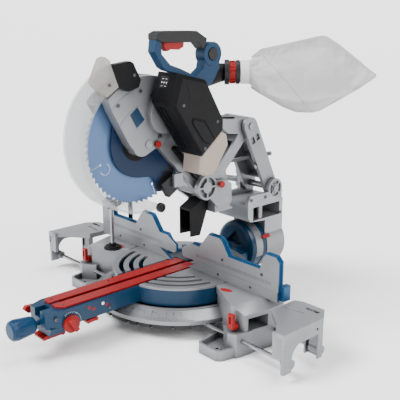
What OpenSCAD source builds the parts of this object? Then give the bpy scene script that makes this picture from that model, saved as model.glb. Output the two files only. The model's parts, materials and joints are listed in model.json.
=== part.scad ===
// Sliding compound mitre saw with a folding glide arm, on its own cast base
// with pull-out side supports. Millimetres. The origin is the turntable axis
// at bench level: +X is the right-hand side, +Y the back, +Z up.

/* [Table and base] */
// Height of the table top above the bench
table_h = 116; // [108:1:124]
// Radius of the turntable
table_r = 178; // [172:1:182]
// Height of the turntable's painted wall and rim
table_wall = 46; // [42:1:50]
// Width of the mitre scale ring outside the turntable
ring_w = 42; // [34:1:46]
// Running gap between moving castings
run_gap = 2; // [1.5:0.5:3]
// Wall of the base castings
cast_wall = 7; // [5:1:9]
// Distance of the bench bolts from the middle, sideways
bolt_x = 275; // [268:1:282]
// Distance of the bench bolts from the middle, front and back
bolt_y = 124; // [120:1:128]
// Bench bolt hole
bolt_d = 9; // [6:0.5:11]

/* [Fences] */
// Half length of the fence
fence_half = 348; // [342:1:356]
// Thickness of the fence plates
fence_t = 9; // [7:1:11]
// Height of the fixed fence above the table
fixed_fence_h = 24; // [20:1:26]
// Height of the sliding fence's low run above the table
slide_fence_h = 67; // [62:1:72]
// Height of the sliding fence's humps above the table
fence_hump_h = 108; // [100:1:110]

/* [Side supports] */
// Outer face of a side support from the middle
support_x = 472; // [462:1:490]
// Diameter of the support rods
rod_d = 10; // [8:1:11]
// Height of the support rods above the bench
rod_z = 39; // [38:0.5:39.5]

/* [Front arm] */
// Half width of the turntable's front arm
arm_w = 46; // [44:1:50]
// Reach of the front arm from the turntable axis
arm_reach = 428; // [410:1:440]
// Half width of the two kerf plates together
kerf_w = 38; // [34:1:40]
// Width of the kerf slot
kerf_slot = 12; // [10:1:14]

/* [Blade] */
// Blade radius
blade_r = 152.5; // [148:0.5:153]
// Number of saw teeth
teeth = 60; // [40:2:72]
// Thickness of the blade body
blade_t = 1.8; // [1.6:0.1:2.4]
// Blade bore
blade_bore = 30; // [25.4:0.2:30]
// Depth of the blade below the table when lowered
plunge = 6; // [4:0.5:8]

/* [Glide arm] */
// Length of each glide link between its pins
link_l = 205; // [200:1:210]
// Distance between the front and rear glide pins as shown
glide_d = 178; // [170:1:186]
// Height of the glide pins above the table
glide_up = 164; // [160:1:170]
// Rear glide pin behind the turntable axis
glide_y = 303; // [298:1:310]
// Diameter of the glide pins
glide_pin = 18; // [14:1:22]

/* [Saw head] */
// Chop pin in front of the front glide pin
chop_fwd = 71; // [69:1:74]
// Chop pin above the glide pins
chop_up = 43; // [41:1:46]
// Diameter of the chop pin
chop_pin_d = 20; // [16:1:24]
// Blade centre in front of the chop pin, head raised
blade_fwd = 184; // [180:1:186]
// Blade centre above the chop pin, head raised
blade_up = 137; // [136:1:140]
// Angle the head swings down
chop_angle = 52; // [50:1:52]
// Outer radius of the swinging guard
guard_r = 181; // [179:1:184]
// Half width of the swinging guard
guard_w = 34; // [30:1:34]

/* [Bevel] */
// Radius of the bevel drum
drum_r = 73; // [70:1:75]
// Front face of the bevel drum
drum_y = 204; // [202:1:208]

/* [Hidden] */
$fn = 64;
fit = 0.06;          // radial clearance of a pin in its bore
seat = 0.03;         // radial clearance of a pin held in its seat
slip = 0.4;          // clearance of a sliding face

// colours
silver = [0.78, 0.79, 0.81];
steel = [0.70, 0.71, 0.73];
tool_blue = [0.05, 0.32, 0.55];
navy = [0.04, 0.20, 0.42];
red = [0.84, 0.13, 0.12];
black = [0.12, 0.12, 0.13];
clear = [0.92, 0.92, 0.90];

// levels of the base
wall_z = table_h - table_wall;             // underside of the turntable's wall
lip_z = wall_z - run_gap / 2;              // top of the ring's inner lip
rim_z = wall_z - 18;                       // top of the ring's outer rim
rim_h = 10;                                // height of the outer rim
ring_in = table_r + 8;                     // inside of the scale ring
ring_r = ring_in + ring_w;                 // outside of the scale ring
lip_w = 8;                                 // width of the inner lip
pan_z = wall_z - 14;                       // top of the pan under the turntable
pan_t = 7;                                 // thickness of the pan
top_t = 6;                                 // thickness of the turntable's top plate
spindle_r = 14;                            // turntable spindle
table_gap = 3;                             // gap round the turntable
shoulder_drop = 18;                        // the tables' outer shoulder falls by this

// plan points of the right-hand table, [x, y]
table_in = [table_r + 4, -34];
table_front = [284, -90];
table_end = [312, -12];
shoulder_front = [322, -82];
shoulder_end = [334, -10];
table_back = 38;

// fences
fence_y = -3.5;                            // working face of the fence
fence_back = fence_y + fence_t;
bridge_y = 60;                             // the fixed fence's bridge passes behind the blade
bridge_t = 12;
fence_step = table_h + fixed_fence_h;

// pins of the glide arm, [y, z]
glide_z = table_h + glide_up;
rear_pin = [glide_y, glide_z];
front_pin = [glide_y - glide_d, glide_z];
elbow_up = sqrt(link_l * link_l - glide_d * glide_d / 4);
elbow = [glide_y - glide_d / 2, glide_z + elbow_up];
fork_in = 36;                              // inside of the rear link's fork
fork_out = 48;                             // outside of the rear link's fork
ear_in = 50;                               // inside of the tower's ears
ear_out = 62;                              // outside of the tower's ears
arm_half = 34;                             // half width of the forearm
guide_x = -75;                             // hinge line of the sideways guide links
guide_z = glide_z + 8;                     // middle height of the guide links
guide_t = 24;                              // height of the guide links
guide_pin_d = 12;
guide_elbow = [guide_x - elbow_up, elbow[0]];

// head
chop_pin = [front_pin[0] - chop_fwd, front_pin[1] + chop_up];
hub = [chop_pin[0] - blade_fwd, chop_pin[1] + blade_up];
barrel_r = 26;
barrel_x = [-44, 33];
lug_r = 33;
cover_r = 163;                             // outer radius of the fixed upper guard

// side supports
support_t = 14;
rod_y = [-92, 9];
rod_inner = 130;
support_leg_z = 22;

// ---------------------------------------------------------------- helpers

module xcyl(p, r, x0, x1) translate([x0, p[0], p[1]]) rotate([0, 90, 0]) cylinder(h = x1 - x0, r = r);
module ycyl(p, r, y0, y1) translate([p[0], y0, p[1]]) rotate([-90, 0, 0]) cylinder(h = y1 - y0, r = r);
module zcyl(p, r, z0, z1) translate([p[0], p[1], z0]) cylinder(h = z1 - z0, r = r);
// 2D drawings stood up: (y, z) along x, (x, z) along y, (x, y) along z
module xplate(x0, x1) translate([x0, 0, 0]) rotate([90, 0, 90]) linear_extrude(x1 - x0) children();
module yplate(y0, y1) translate([0, y1, 0]) rotate([90, 0, 0]) linear_extrude(y1 - y0) children();
module zplate(z0, z1) translate([0, 0, z0]) linear_extrude(z1 - z0) children();
module block(x, y, z) translate([x[0], y[0], z[0]]) cube([x[1] - x[0], y[1] - y[0], z[1] - z[0]]);
module both() { children(); mirror([1, 0, 0]) children(); }

// outline of two circles joined by their outer tangents
module link2d(a, ra, b, rb) {
    d = norm(b - a);
    t = atan2(b[1] - a[1], b[0] - a[0]);
    s = acos((ra - rb) / d);
    translate(a) circle(ra);
    translate(b) circle(rb);
    polygon([a + ra * [cos(t + s), sin(t + s)], a + ra * [cos(t - s), sin(t - s)],
        b + rb * [cos(t - s), sin(t - s)], b + rb * [cos(t + s), sin(t + s)]]);
}

// ring segment in plan, from angle a0 to a1
module arc_band(r0, r1, z0, z1, a0, a1)
    rotate([0, 0, a0]) rotate_extrude(angle = a1 - a0) translate([r0, z0]) square([r1 - r0, z1 - z0]);

// slot with round ends along an arc
module arc_slot(r, w, z0, z1, a0, a1) {
    arc_band(r - w / 2, r + w / 2, z0, z1, a0, a1);
    for (a = [a0, a1]) zcyl(r * [cos(a), sin(a)], w / 2 + 0.3, z0, z1);
}

// a wheel's face: rim, hub and four spokes, as cast round a pin
module spoke_boss(p, r, hub_r, x0, x1) {
    difference() {
        xcyl(p, r, x0, x1);
        xcyl(p, r - 6, x0 - 1, x1 + 1);
    }
    xcyl(p, hub_r, x0, x1);
    for (a = [0, 90, 180, 270])
        translate([x0, p[0], p[1]]) rotate([a, 0, 0]) translate([0, hub_r - 2, -2.5]) cube([x1 - x0, r - hub_r - 2, 5]);
    xcyl(p, r - 3, x0, (x0 + x1) / 2);
}

// ---------------------------------------------------------------- base

// right-hand table, hollow from below, with its shoulder and end pocket
module table_block() {
    top = [[table_r - 30, table_in[1] + 14], table_in, table_front, table_end,
        [table_end[0], table_back], [table_r - 30, table_back]];
    low = [[table_r - 30, table_in[1] + 14], table_in, table_front, shoulder_front, shoulder_end,
        [shoulder_end[0], table_back], [table_r - 30, table_back]];
    pocket = [[270, 340], [-72, -16], [wall_z - 12, wall_z + 18]];
    difference() {
        union() {
            hull() {
                zplate(table_h - 1, table_h) polygon(top);
                zplate(table_h - shoulder_drop - 1, table_h - shoulder_drop) polygon(low);
            }
            zplate(0, table_h - shoulder_drop) polygon(low);
        }
        // clear of the turntable and the ring
        zcyl([0, 0], table_r + table_gap, wall_z - run_gap, table_h + 1);
        zcyl([0, 0], ring_in + 2, -1, wall_z);
        // hollow underneath, with walls left round the pocket
        difference() {
            zplate(-1, table_h - 12) polygon([[ring_in + 16, table_in[1] + 4], [ring_in + 24, -42],
                [table_front[0] - 6, table_front[1] + 14], [shoulder_front[0] - 10, shoulder_front[1] + 10],
                [shoulder_end[0] - 10, table_back - cast_wall], [ring_in + 16, table_back - cast_wall]]);
            block(pocket[0] - [cast_wall, 0], pocket[1] + [-cast_wall, cast_wall], pocket[2] + [-cast_wall, cast_wall]);
            // webs that carry the rods
            block([240, 250], [-100, 60], [-2, wall_z - 20]);
        }
        block(pocket[0], pocket[1], pocket[2]);
    }
}

// front foot: pad with a raised rim, and the shoulder that the rod leaves
module front_foot() {
    pad = [[236, -146], [244, -152], [300, -152], [310, -142], [318, -100], [318, -70], [262, -60], [222, -66]];
    inner = [[242, -142], [247, -146], [297, -146], [304, -139], [310, -104], [300, -96], [262, -74], [232, -76]];
    shoulder = [[262, -92], [300, -116], [322, -108], [328, -60], [280, -56]];
    difference() {
        zplate(0, 26) polygon(pad);
        zplate(12, 27) polygon(inner);
        zplate(-1, 5) polygon([[246, -138], [294, -140], [302, -130], [306, -84], [262, -76], [238, -80]]);
    }
    difference() {
        zplate(0, wall_z - 12) polygon(shoulder);
        zplate(-1, wall_z - 20) polygon([[272, -92], [300, -107], [314, -100], [320, -66], [284, -64]]);
    }
    zcyl([bolt_x, -bolt_y], bolt_d, 0, 14);
}

// low rear lug with its bolt boss
module rear_lug() {
    block([bolt_x - 13, bolt_x + 13], [table_back - 6, bolt_y], [0, 14]);
    zcyl([bolt_x, bolt_y], 17, 0, 14);
    block([bolt_x - 3, bolt_x + 3], [table_back - 2, bolt_y - 18], [12, 30]);
}

module base_casting() color(silver) difference() {
    union() {
        both() {
            table_block();
            front_foot();
            rear_lug();
        }
        // the scale ring's bed: sloping in front, a narrow lip behind
        rotate([0, 0, 174]) rotate_extrude(angle = 192) polygon([[ring_in, rim_z - 4], [ring_in, lip_z],
            [ring_in + lip_w, lip_z], [ring_in + lip_w, lip_z - 3], [ring_r - 4, rim_z - 1.5], [ring_r, rim_z],
            [ring_r, rim_z - rim_h], [ring_r - 5, rim_z - rim_h], [ring_r - 6, rim_z - 5],
            [ring_in + lip_w, rim_z - 4]]);
        arc_band(ring_in + 0.4, ring_in + lip_w - 0.5, rim_z - 6, lip_z - 0.3, 3, 177);
        // pan with its hub and ribs
        zcyl([0, 0], ring_in + 1.3, pan_z - pan_t, pan_z);
        zcyl([0, 0], 34, rod_z + 8, wall_z - 0.5);
        // rear apron down to the bench
        arc_band(ring_in - 1, ring_in + lip_w + 1, 0, rim_z, 8, 172);
        for (a = [55, 90, 125]) rotate([0, 0, a]) block([ring_in - 20, ring_in], [-3, 3], [0, pan_z - 1]);
    }
    // turntable spindle, bench bolts and support rods
    zcyl([0, 0], spindle_r + fit, 0, table_h);
    both() {
        for (s = [-1, 1]) zcyl([bolt_x, s * bolt_y], bolt_d / 2, -1, 30);
        for (y = rod_y) xcyl([y, rod_z], rod_d / 2 + fit, rod_inner - 30, 345);
    }
    // screw holes of the fence on the tables
    both() for (x = [215, 300]) zcyl([x, fence_back + 12], 3, table_h - 20, table_h + 1);
}

// marked plate on the sloping face of the ring
module mitre_scale() color(silver) difference() {
    r0 = ring_in + lip_w + 2;
    r1 = ring_r - 6;
    slope = (lip_z - 3 - rim_z + 1.5) / (ring_r - 4 - ring_in - lip_w);
    z0 = lip_z - 2.9 - slope * 2;
    z1 = z0 - slope * (r1 - r0);
    rotate([0, 0, 212]) rotate_extrude(angle = 116)
        polygon([[r0, z0], [r0, z0 + 1.2], [r1, z1 + 1.2], [r1, z1]]);
    // graduations every five degrees
    for (a = [-50:5:50]) rotate([0, 0, 270 + a])
        block([r0 + (a % 10 == 0 ? 2 : 9), r0 + 16], [-0.6, 0.6], [z1, z0 + 3]);
}

// notched ring under the scale's rim
module detent_ring() color(black) difference() {
    arc_band(ring_r - 22, ring_r - 1, rim_z - rim_h - 10.3, rim_z - rim_h - 0.3, 214, 326);
    for (a = [-45, -31.6, -22.5, -15, 0, 15, 22.5, 31.6, 45]) rotate([0, 0, 270 + a])
        block([ring_r - 7, ring_r + 2], [-4, 4], [rim_z - rim_h - 12, rim_z - rim_h]);
}

// fixed fence: two low plates with slanted inner ends, joined by a bridge behind
module fixed_fence() {
    color(silver) both() difference() {
        union() {
            yplate(fence_y, fence_back) polygon([[34, table_h + 0.5], [80, fence_step], [fence_half, fence_step],
                [fence_half, table_h + 0.02], [table_r + 6, table_h + 0.02], [table_r + 6, table_h + 0.5]]);
            // foot flange on the table
            block([table_r + 8, table_end[0]], [fence_back - 1, table_back - 2], [table_h + 0.02, table_h + 7]);
        }
        for (x = [150, 262]) ycyl([x, table_h + 12], 4, fence_y - 1, fence_y + 4);
    }
    color(tool_blue) {
        both() {
            block([82, 200], [fence_back - 1, fence_back + 14], [table_h + 1, table_h + 9]);
            zplate(table_h + 1, table_h + 9) polygon([[60, bridge_y], [60, bridge_y + bridge_t],
                [120, fence_back + 14], [120, fence_back + 2], [84, fence_back + 2]]);
        }
        block([-62, 62], [bridge_y, bridge_y + bridge_t], [table_h + 1, table_h + 20]);
        for (x = [-48:12:48]) block([x - 1.5, x + 1.5], [bridge_y - 5, bridge_y + 1], [table_h + 1, table_h + 20]);
    }
}

// ---------------------------------------------------------------- side supports

// right-hand support: a ribbed top on two legs
module support() {
    x1 = support_x;
    front = table_front[1] - 30;
    back = table_back + 10;
    plan = [[x1 - 107, -42], [x1 - 58, -80], [x1 - 22, front], [x1, front], [x1, back - 36],
        [x1 - 26, back], [x1 - 86, back], [x1 - 107, back - 10]];
    top = table_h;
    difference() {
        zplate(top - support_t, top) polygon(plan);
        // hollow underneath the top plate
        zplate(top - support_t - 1, top - 4) polygon([[x1 - 100, -38], [x1 - 54, -72], [x1 - 24, front + 8],
            [x1 - 8, front + 8], [x1 - 8, back - 40], [x1 - 30, back - 7], [x1 - 82, back - 7], [x1 - 100, back - 14]]);
        // stepped trough behind and slots
        zplate(top - 2, top + 1) polygon([[x1 - 96, -10], [x1 - 40, -4], [x1 - 40, 2], [x1 - 96, -4]]);
        block([x1 - 60, x1 - 24], [20, 30], [top - 20, top + 1]);
    }
    for (x = [x1 - 78, x1 - 44]) block([x, x + 4], [-50, back - 6], [top - support_t, top - 3]);
    // end apron and the two legs
    difference() {
        block([x1 - 6, x1], [front, back - 36], [top - 34, top - 1]);
        xcyl([-8, top - 20], 3, x1 - 7, x1 + 1);
        xcyl([back - 48, top - 20], 3, x1 - 7, x1 + 1);
    }
    leg(x1, front + 2);
    difference() {
        block([x1 - 40, x1], [back - 52, back - 36], [support_leg_z, top - 2]);
        block([x1 - 36, x1 - 4], [back - 53, back - 42], [support_leg_z - 1, top - support_t]);
    }
}

// front leg with a curved brace into the apron
module leg(x1, y0) {
    block([x1 - 9, x1], [y0, y0 + 26], [support_leg_z, table_h - 2]);
    xplate(x1 - 6, x1) difference() {
        polygon([[y0 + 25, table_h - 20], [y0 + 60, table_h - 20], [y0 + 60, table_h - 34], [y0 + 25, table_h - 66]]);
        translate([y0 + 60, table_h - 66]) circle(34);
    }
    block([x1 - 34, x1], [y0, y0 + 8], [table_h - 60, table_h - 2]);
    // bosses that hold the rods
    xcyl([rod_y[0], rod_z], 11, x1 - 24, x1);
}

module right_support() color(silver) difference() {
    union() {
        support();
        xcyl([rod_y[1], rod_z], 11, support_x - 30, support_x);
        block([support_x - 30, support_x - 6], [rod_y[1] - 8, rod_y[1] + 8], [rod_z, table_h - 3]);
    }
    for (y = rod_y) xcyl([y, rod_z], rod_d / 2 + seat, support_x - 60, support_x - 4 + seat);
}
module left_support() mirror([1, 0, 0]) right_support();

module rods() color(steel) for (y = rod_y) xcyl([y, rod_z], rod_d / 2, rod_inner, support_x - 4);
module right_rods() rods();
module left_rods() mirror([1, 0, 0]) rods();

// red cam lever on the front of the table's end
lever_y = -94;
module support_lever() color(red) {
    ycyl([300, wall_z - 1], 9, lever_y - 6, table_front[1] + 1.1);
    difference() {
        block([292, 308], [lever_y - 14, lever_y - 5], [wall_z - 3, wall_z + 32]);
        block([297, 303], [lever_y - 15, lever_y - 11], [wall_z + 8, wall_z + 26]);
    }
}
module right_support_lever() support_lever();
module left_support_lever() mirror([1, 0, 0]) support_lever();

// ---------------------------------------------------------------- sliding fences

// tall plate with a hump near the blade and one at the outer end
module sliding_fence() {
    top = table_h + slide_fence_h;
    hump = table_h + fence_hump_h;
    z0 = fence_step + 0.3;
    x1 = fence_half + 2;
    outline = [[12, z0 + 5], [12, z0 + 23], [48, top], [80, top], [110, hump - 4], [118, hump], [152, hump],
        [162, hump - 6], [186, top], [x1 - 58, top], [x1 - 50, hump - 12], [x1 - 40, hump], [x1 - 10, hump], [x1, hump - 10],
        [x1, z0], [18, z0]];
    color(silver) difference() {
        yplate(fence_y, fence_back) polygon(outline);
        for (x = [165, x1 - 52]) ycyl([x, top - 12], 4, fence_y - 1, fence_y + 5);
    }
    // stiffening strip and the slide behind the plate
    color(tool_blue) {
        yplate(fence_back - 0.01, fence_back + 4) polygon([[20, z0 + 14], [50, top + 4], [78, top + 4], [108, hump],
            [116, hump + 4], [154, hump + 4], [166, hump - 2], [190, top + 4], [x1 - 62, top + 4], [x1 - 54, hump - 8],
            [x1 - 42, hump + 4], [x1 - 8, hump + 4], [x1 + 4, hump - 8], [x1 + 4, z0 + 2], [26, z0 + 2]]);
        block([120, x1 + 4], [fence_back, fence_back + 12], [z0 + 2, z0 + 16]);
        block([x1 - 4, x1 + 10], [fence_back + 1, fence_back + 24], [table_h + 2, z0 + 14]);
    }
}
module right_fence() sliding_fence();
module left_fence() mirror([1, 0, 0]) sliding_fence();

// ---------------------------------------------------------------- work clamp

clamp_xy = [60 - fence_half, 54];          // post
spindle_xy = clamp_xy + [74, -120];        // spindle
clamp_z = table_h + fence_hump_h + 10;     // underside of the arm
module clamp_post() color(black) {
    difference() {
        zcyl(clamp_xy, 14, table_h - 30, table_h + 6);
        zcyl(clamp_xy, 7, table_h - 40, table_h + 7);
    }
    block([clamp_xy[0] - 16, clamp_xy[0] + 16], [table_back + 0.02, clamp_xy[1]], [table_h - 30, table_h + 6]);
    zcyl(clamp_xy, 7 - fit, table_h - 34, clamp_z + 16);
}
module clamp_arm() color(black) difference() {
    zplate(clamp_z, clamp_z + 10) link2d(clamp_xy, 15, spindle_xy, 11);
    zcyl(clamp_xy, 7, clamp_z - 1, clamp_z + 11);
    zcyl(spindle_xy, 5 + fit, clamp_z - 1, clamp_z + 11);
}
module clamp_spindle() color(steel) {
    zcyl(spindle_xy, 5, table_h + 12, clamp_z + 13);
    zcyl(spindle_xy, 8, clamp_z + 12, clamp_z + 15);
}
module clamp_foot() color(black) difference() {
    union() {
        zcyl(spindle_xy, 25, table_h + 1, table_h + 5);
        zcyl(spindle_xy, 21, table_h + 5, table_h + 9);
        zcyl(spindle_xy, 10, table_h + 9, table_h + 16);
    }
    zcyl(spindle_xy, 5 + fit, table_h + 12, table_h + 17);
}

// ---------------------------------------------------------------- turntable

arm_z = wall_z + 1;
plate_t = 4;                               // thickness of the kerf plates
module turntable() color(tool_blue) difference() {
    union() {
        difference() {
            zcyl([0, 0], table_r, wall_z, table_h - top_t);
            zcyl([0, 0], table_r - cast_wall, wall_z + 6, table_h);
        }
        zcyl([0, 0], 40, wall_z, table_h - top_t);
        for (a = [0:45:315]) rotate([0, 0, a + 22.5]) block([30, table_r - 2], [-2.5, 2.5], [wall_z, table_h - top_t]);
        // front arm with its head, and the neck that carries the drum
        zplate(arm_z, table_h - plate_t) polygon([[-arm_w, 0], [-arm_w, -arm_reach + 34], [-arm_w + 14, -arm_reach],
            [arm_w - 14, -arm_reach], [arm_w, -arm_reach + 34], [arm_w, 0]]);
        yplate(-arm_reach + 8, -arm_reach + 70) polygon([[-arm_w + 4, arm_z + 1], [-arm_w + 12, arm_z - 18],
            [arm_w - 12, arm_z - 18], [arm_w - 4, arm_z + 1]]);
        block([-54, 54], [100, drum_y - 0.02], [wall_z + 1, table_h - top_t]);
        zcyl([0, 0], spindle_r, rod_z + 12, wall_z + 1);
    }
    // trough under the kerf plates, open for the blade
    block([-arm_w + 6, arm_w - 6], [-arm_reach + 60, -20], [arm_z + 5, table_h]);
    block([-kerf_slot, kerf_slot], [-arm_reach + 60, 60], [arm_z + 5, table_h]);
    // thumb recess in the head of the arm
    block([-12, 12], [-arm_reach - 1, -arm_reach + 26], [table_h - 22, table_h]);
    // bores of the bevel dial and the mitre lock rod
    xcyl(dial_p, 5 + fit, arm_w - 6, arm_w + 1);
    ycyl([0, arm_z + 8], 6, -arm_reach - 1, -arm_reach + 62);
}

module table_top() color(silver) difference() {
    zcyl([0, 0], table_r, table_h - top_t, table_h);
    block([-arm_w, arm_w], [-table_r - 1, 24], [table_h - top_t - 1, table_h + 1]);
    block([-kerf_slot, kerf_slot], [20, 62], [table_h - top_t - 1, table_h + 1]);
    // concentric slots on both sides
    for (i = [0:2]) {
        r = table_r - 22 - 26 * i;
        arc_slot(r, 12, table_h - top_t - 1, table_h + 1, 286 + 4 * i, 346 - 4 * i);
        arc_slot(r, 12, table_h - top_t - 1, table_h + 1, 194 + 4 * i, 254 - 4 * i);
    }
}

module kerf_plates() color(red) both() difference() {
    zplate(table_h - plate_t, table_h) polygon([[kerf_slot / 2, -arm_reach + 34], [kerf_w - 12, -arm_reach + 34],
        [kerf_w, -arm_reach + 48], [kerf_w, 12], [kerf_w - 10, 22], [kerf_slot / 2, 22]]);
    for (y = [-arm_reach + 52, -arm_reach / 2, -30]) zcyl([(kerf_slot / 2 + kerf_w) / 2 + 4, y], 3, table_h - 2, table_h + 1);
}

// blue tapered knob on the mitre lock rod
knob_z = arm_z + 8;
module mitre_knob() {
    color(tool_blue) translate([0, -arm_reach - 12, knob_z]) rotate([90, 0, 0]) difference() {
        rotate_extrude() polygon([[0, 0], [17, 0], [21, 6], [25, 46], [23, 56], [18, 60], [0, 60]]);
        for (a = [15:30:345]) rotate([0, 0, a]) translate([26, 0, 4]) cylinder(h = 44, r = 3.2);
    }
    color(steel) ycyl([0, knob_z], 6 - fit, -arm_reach - 13, -arm_reach + 55);
}

// red thumb lever at the left of the arm's head
lever_x = -arm_w - 6;
lever_p = [-arm_reach + 40, table_h - 26];  // [y, z]
module detent_lever() color(red) {
    xcyl(lever_p, 8, lever_x - 10, -arm_w - 0.3);
    xplate(lever_x - 10, lever_x + 2) polygon([[lever_p[0] + 6, lever_p[1] - 6], [lever_p[0] + 4, lever_p[1] + 8],
        [lever_p[0] - 40, lever_p[1] + 12], [lever_p[0] - 46, lever_p[1] + 4], [lever_p[0] - 36, lever_p[1] - 6]]);
}

// red lever under the arm's head
over_p = [-arm_reach + 50, arm_z - 24.3];
module override_lever() color(red) {
    xcyl(over_p, 6, -24, 24);
    xplate(-20, 20) polygon([[over_p[0] + 4, over_p[1] + 5], [over_p[0] - 38, over_p[1] + 4],
        [over_p[0] - 52, over_p[1] - 1], [over_p[0] - 50, over_p[1] - 7], [over_p[0], over_p[1] - 6]]);
}

// red rotary knob on the right side of the arm
dial_p = [-arm_reach + 58, arm_z + 4];
module bevel_dial() color(red) {
    xcyl(dial_p, 21, arm_w + 0.4, arm_w + 7);
    difference() {
        xcyl(dial_p, 17, arm_w + 6, arm_w + 18);
        for (s = [-1, 1]) translate([arm_w + 8, dial_p[0], dial_p[1]]) rotate([30, 0, 0])
            translate([0, s * 12 - 6, -20]) cube([12, 12, 40]);
    }
    xcyl(dial_p, 5, arm_w - 5, arm_w + 1);
}

// red flap on the underside of the arm, right side
flap_p = [-arm_reach + 128, arm_z - 5.4];
module bevel_lever() color(red) {
    xcyl(flap_p, 5, arm_w - 22, arm_w + 2);
    xplate(arm_w - 20, arm_w) polygon([[flap_p[0] + 3, flap_p[1] + 4], [flap_p[0] - 26, flap_p[1] + 1],
        [flap_p[0] - 24, flap_p[1] - 7], [flap_p[0], flap_p[1] - 5]]);
}

// blue bevel drum round the bevel axis
bevel_axis = [0, table_h];
drum_len = 58;
module bevel_drum() color(tool_blue) difference() {
    union() {
        translate([0, drum_y, table_h]) rotate([-90, 0, 0]) rotate_extrude()
            polygon([[0, 0], [drum_r - 14, 0], [drum_r - 4, 5], [drum_r, 14], [drum_r, drum_len], [0, drum_len]]);
    }
    // triangular recess in the front face, and the bevel bolt's bore
    yplate(drum_y - 1, drum_y + 16) polygon([[-36, table_h + 6], [40, table_h + 6], [2, table_h + 46]]);
    ycyl(bevel_axis, 10 + fit, drum_y - 2, drum_y + drum_len + 1);
    // seat of the scale band
    translate([0, drum_y + 18, table_h]) rotate([-90, 0, 0]) difference() {
        cylinder(h = 26, r = drum_r + 1);
        translate([0, 0, -1]) cylinder(h = 28, r = drum_r - 2);
    }
}
module bevel_scale() color(silver) translate([0, drum_y + 18.2, table_h]) rotate([-90, 0, 0]) difference() {
    cylinder(h = 25.6, r = drum_r - 0.2);
    translate([0, 0, -1]) cylinder(h = 28, r = drum_r - 1.9);
    translate([-drum_r - 1, 20, -1]) cube([2 * drum_r + 2, drum_r, 28]);
}

// ---------------------------------------------------------------- tower

hub_y = drum_y + drum_len + 1;
hub_r = drum_r + 1;
tower_back = glide_y + 33;
floor_z = glide_z - 33;                    // floor of the channel between the ears
left_top = guide_z - guide_t / 2 - 14;     // the left cheek stays under the guide links
module tower() color(silver) difference() {
    union() {
        // hub round the bevel axis and the column on it
        ycyl(bevel_axis, hub_r, hub_y, tower_back);
        block([-ear_out, ear_out], [hub_y, tower_back], [table_h, floor_z]);
        // box over the drum, nose chamfered
        xplate(-ear_out, ear_out) polygon([[194, floor_z], [194, 214], [202, 200], [hub_y + 2, table_h + drum_r + 5],
            [hub_y + 2, floor_z]]);
        // cheeks
        xplate(ear_in, ear_out) cheek(glide_z - 6);
        xplate(-ear_out, -ear_in) cheek(left_top);
        // lugs of the sideways guide
        for (z = [guide_z - guide_t / 2 - 12, guide_z + guide_t / 2 + 0.4])
            zplate(z, z + 11.6) difference() {
                union() {
                    translate([guide_x, rear_pin[0]]) circle(16);
                    translate([guide_x, rear_pin[0] - 16]) square([-ear_in - guide_x - 1, 32]);
                }
                translate([guide_x, rear_pin[0]]) circle(guide_pin_d / 2 + seat);
            }
        block([-ear_out, -ear_in], [rear_pin[0] - 16, rear_pin[0] + 16], [floor_z, guide_z + guide_t / 2 + 12]);
    }
    // the window in the right cheek
    block([-ear_out + 12, ear_out + 1], [214, 322], [floor_z - 46, floor_z - 8]);
    // spoked recess round the rear pin
    difference() {
        xcyl(rear_pin, 22, ear_out - 4, ear_out + 1);
        xcyl(rear_pin, 13, ear_out - 5, ear_out + 2);
        for (a = [45:90:315]) translate([0, rear_pin[0], rear_pin[1]]) rotate([a, 0, 0])
            block([ear_out - 5, ear_out + 2], [0, 24], [-2, 2]);
    }
    xcyl(rear_pin, glide_pin / 2 + seat, -ear_out - 1, ear_out + 1);
    ycyl(bevel_axis, 10 + seat, hub_y - 1, tower_back - 12 + seat);
    // bowl in the back of the hub
    translate([0, hub_y + 30, table_h]) rotate([-90, 0, 0]) difference() {
        cylinder(h = 60, r = hub_r - 14);
        translate([0, 0, -1]) cylinder(h = 62, r = 24);
    }
}
module cheek(front_z) union() {
    translate(rear_pin) circle(28);
    polygon([[194, floor_z - 20], [194, front_z - 16], [204, front_z], [rear_pin[0] - 24, front_z],
        [rear_pin[0] - 20, floor_z - 20]]);
    translate([rear_pin[0] - 28, floor_z - 20]) square([56, 46]);
}
module tower_pins() color(steel) {
    xcyl(rear_pin, glide_pin / 2, -ear_out + 2, ear_out + 3);
    translate([0, rear_pin[0], 0]) zcyl([guide_x, 0], guide_pin_d / 2, guide_z - guide_t / 2 - 14, guide_z + guide_t / 2 + 14);
    ycyl(bevel_axis, 10, drum_y + 0.5, tower_back - 12);
    // knuckle behind the window
    zcyl([ear_out - 14, 250], 11, floor_z - 45.8, floor_z - 8.2);
}
// red pointers over the bevel scale
module bevel_pointer() color(red) both() {
    translate([0, 0, table_h]) rotate([0, 64, 0]) block([-5, 5], [hub_y - 16, hub_y + 12], [hub_r + 0.3, hub_r + 4]);
}

// ---------------------------------------------------------------- glide links

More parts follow.
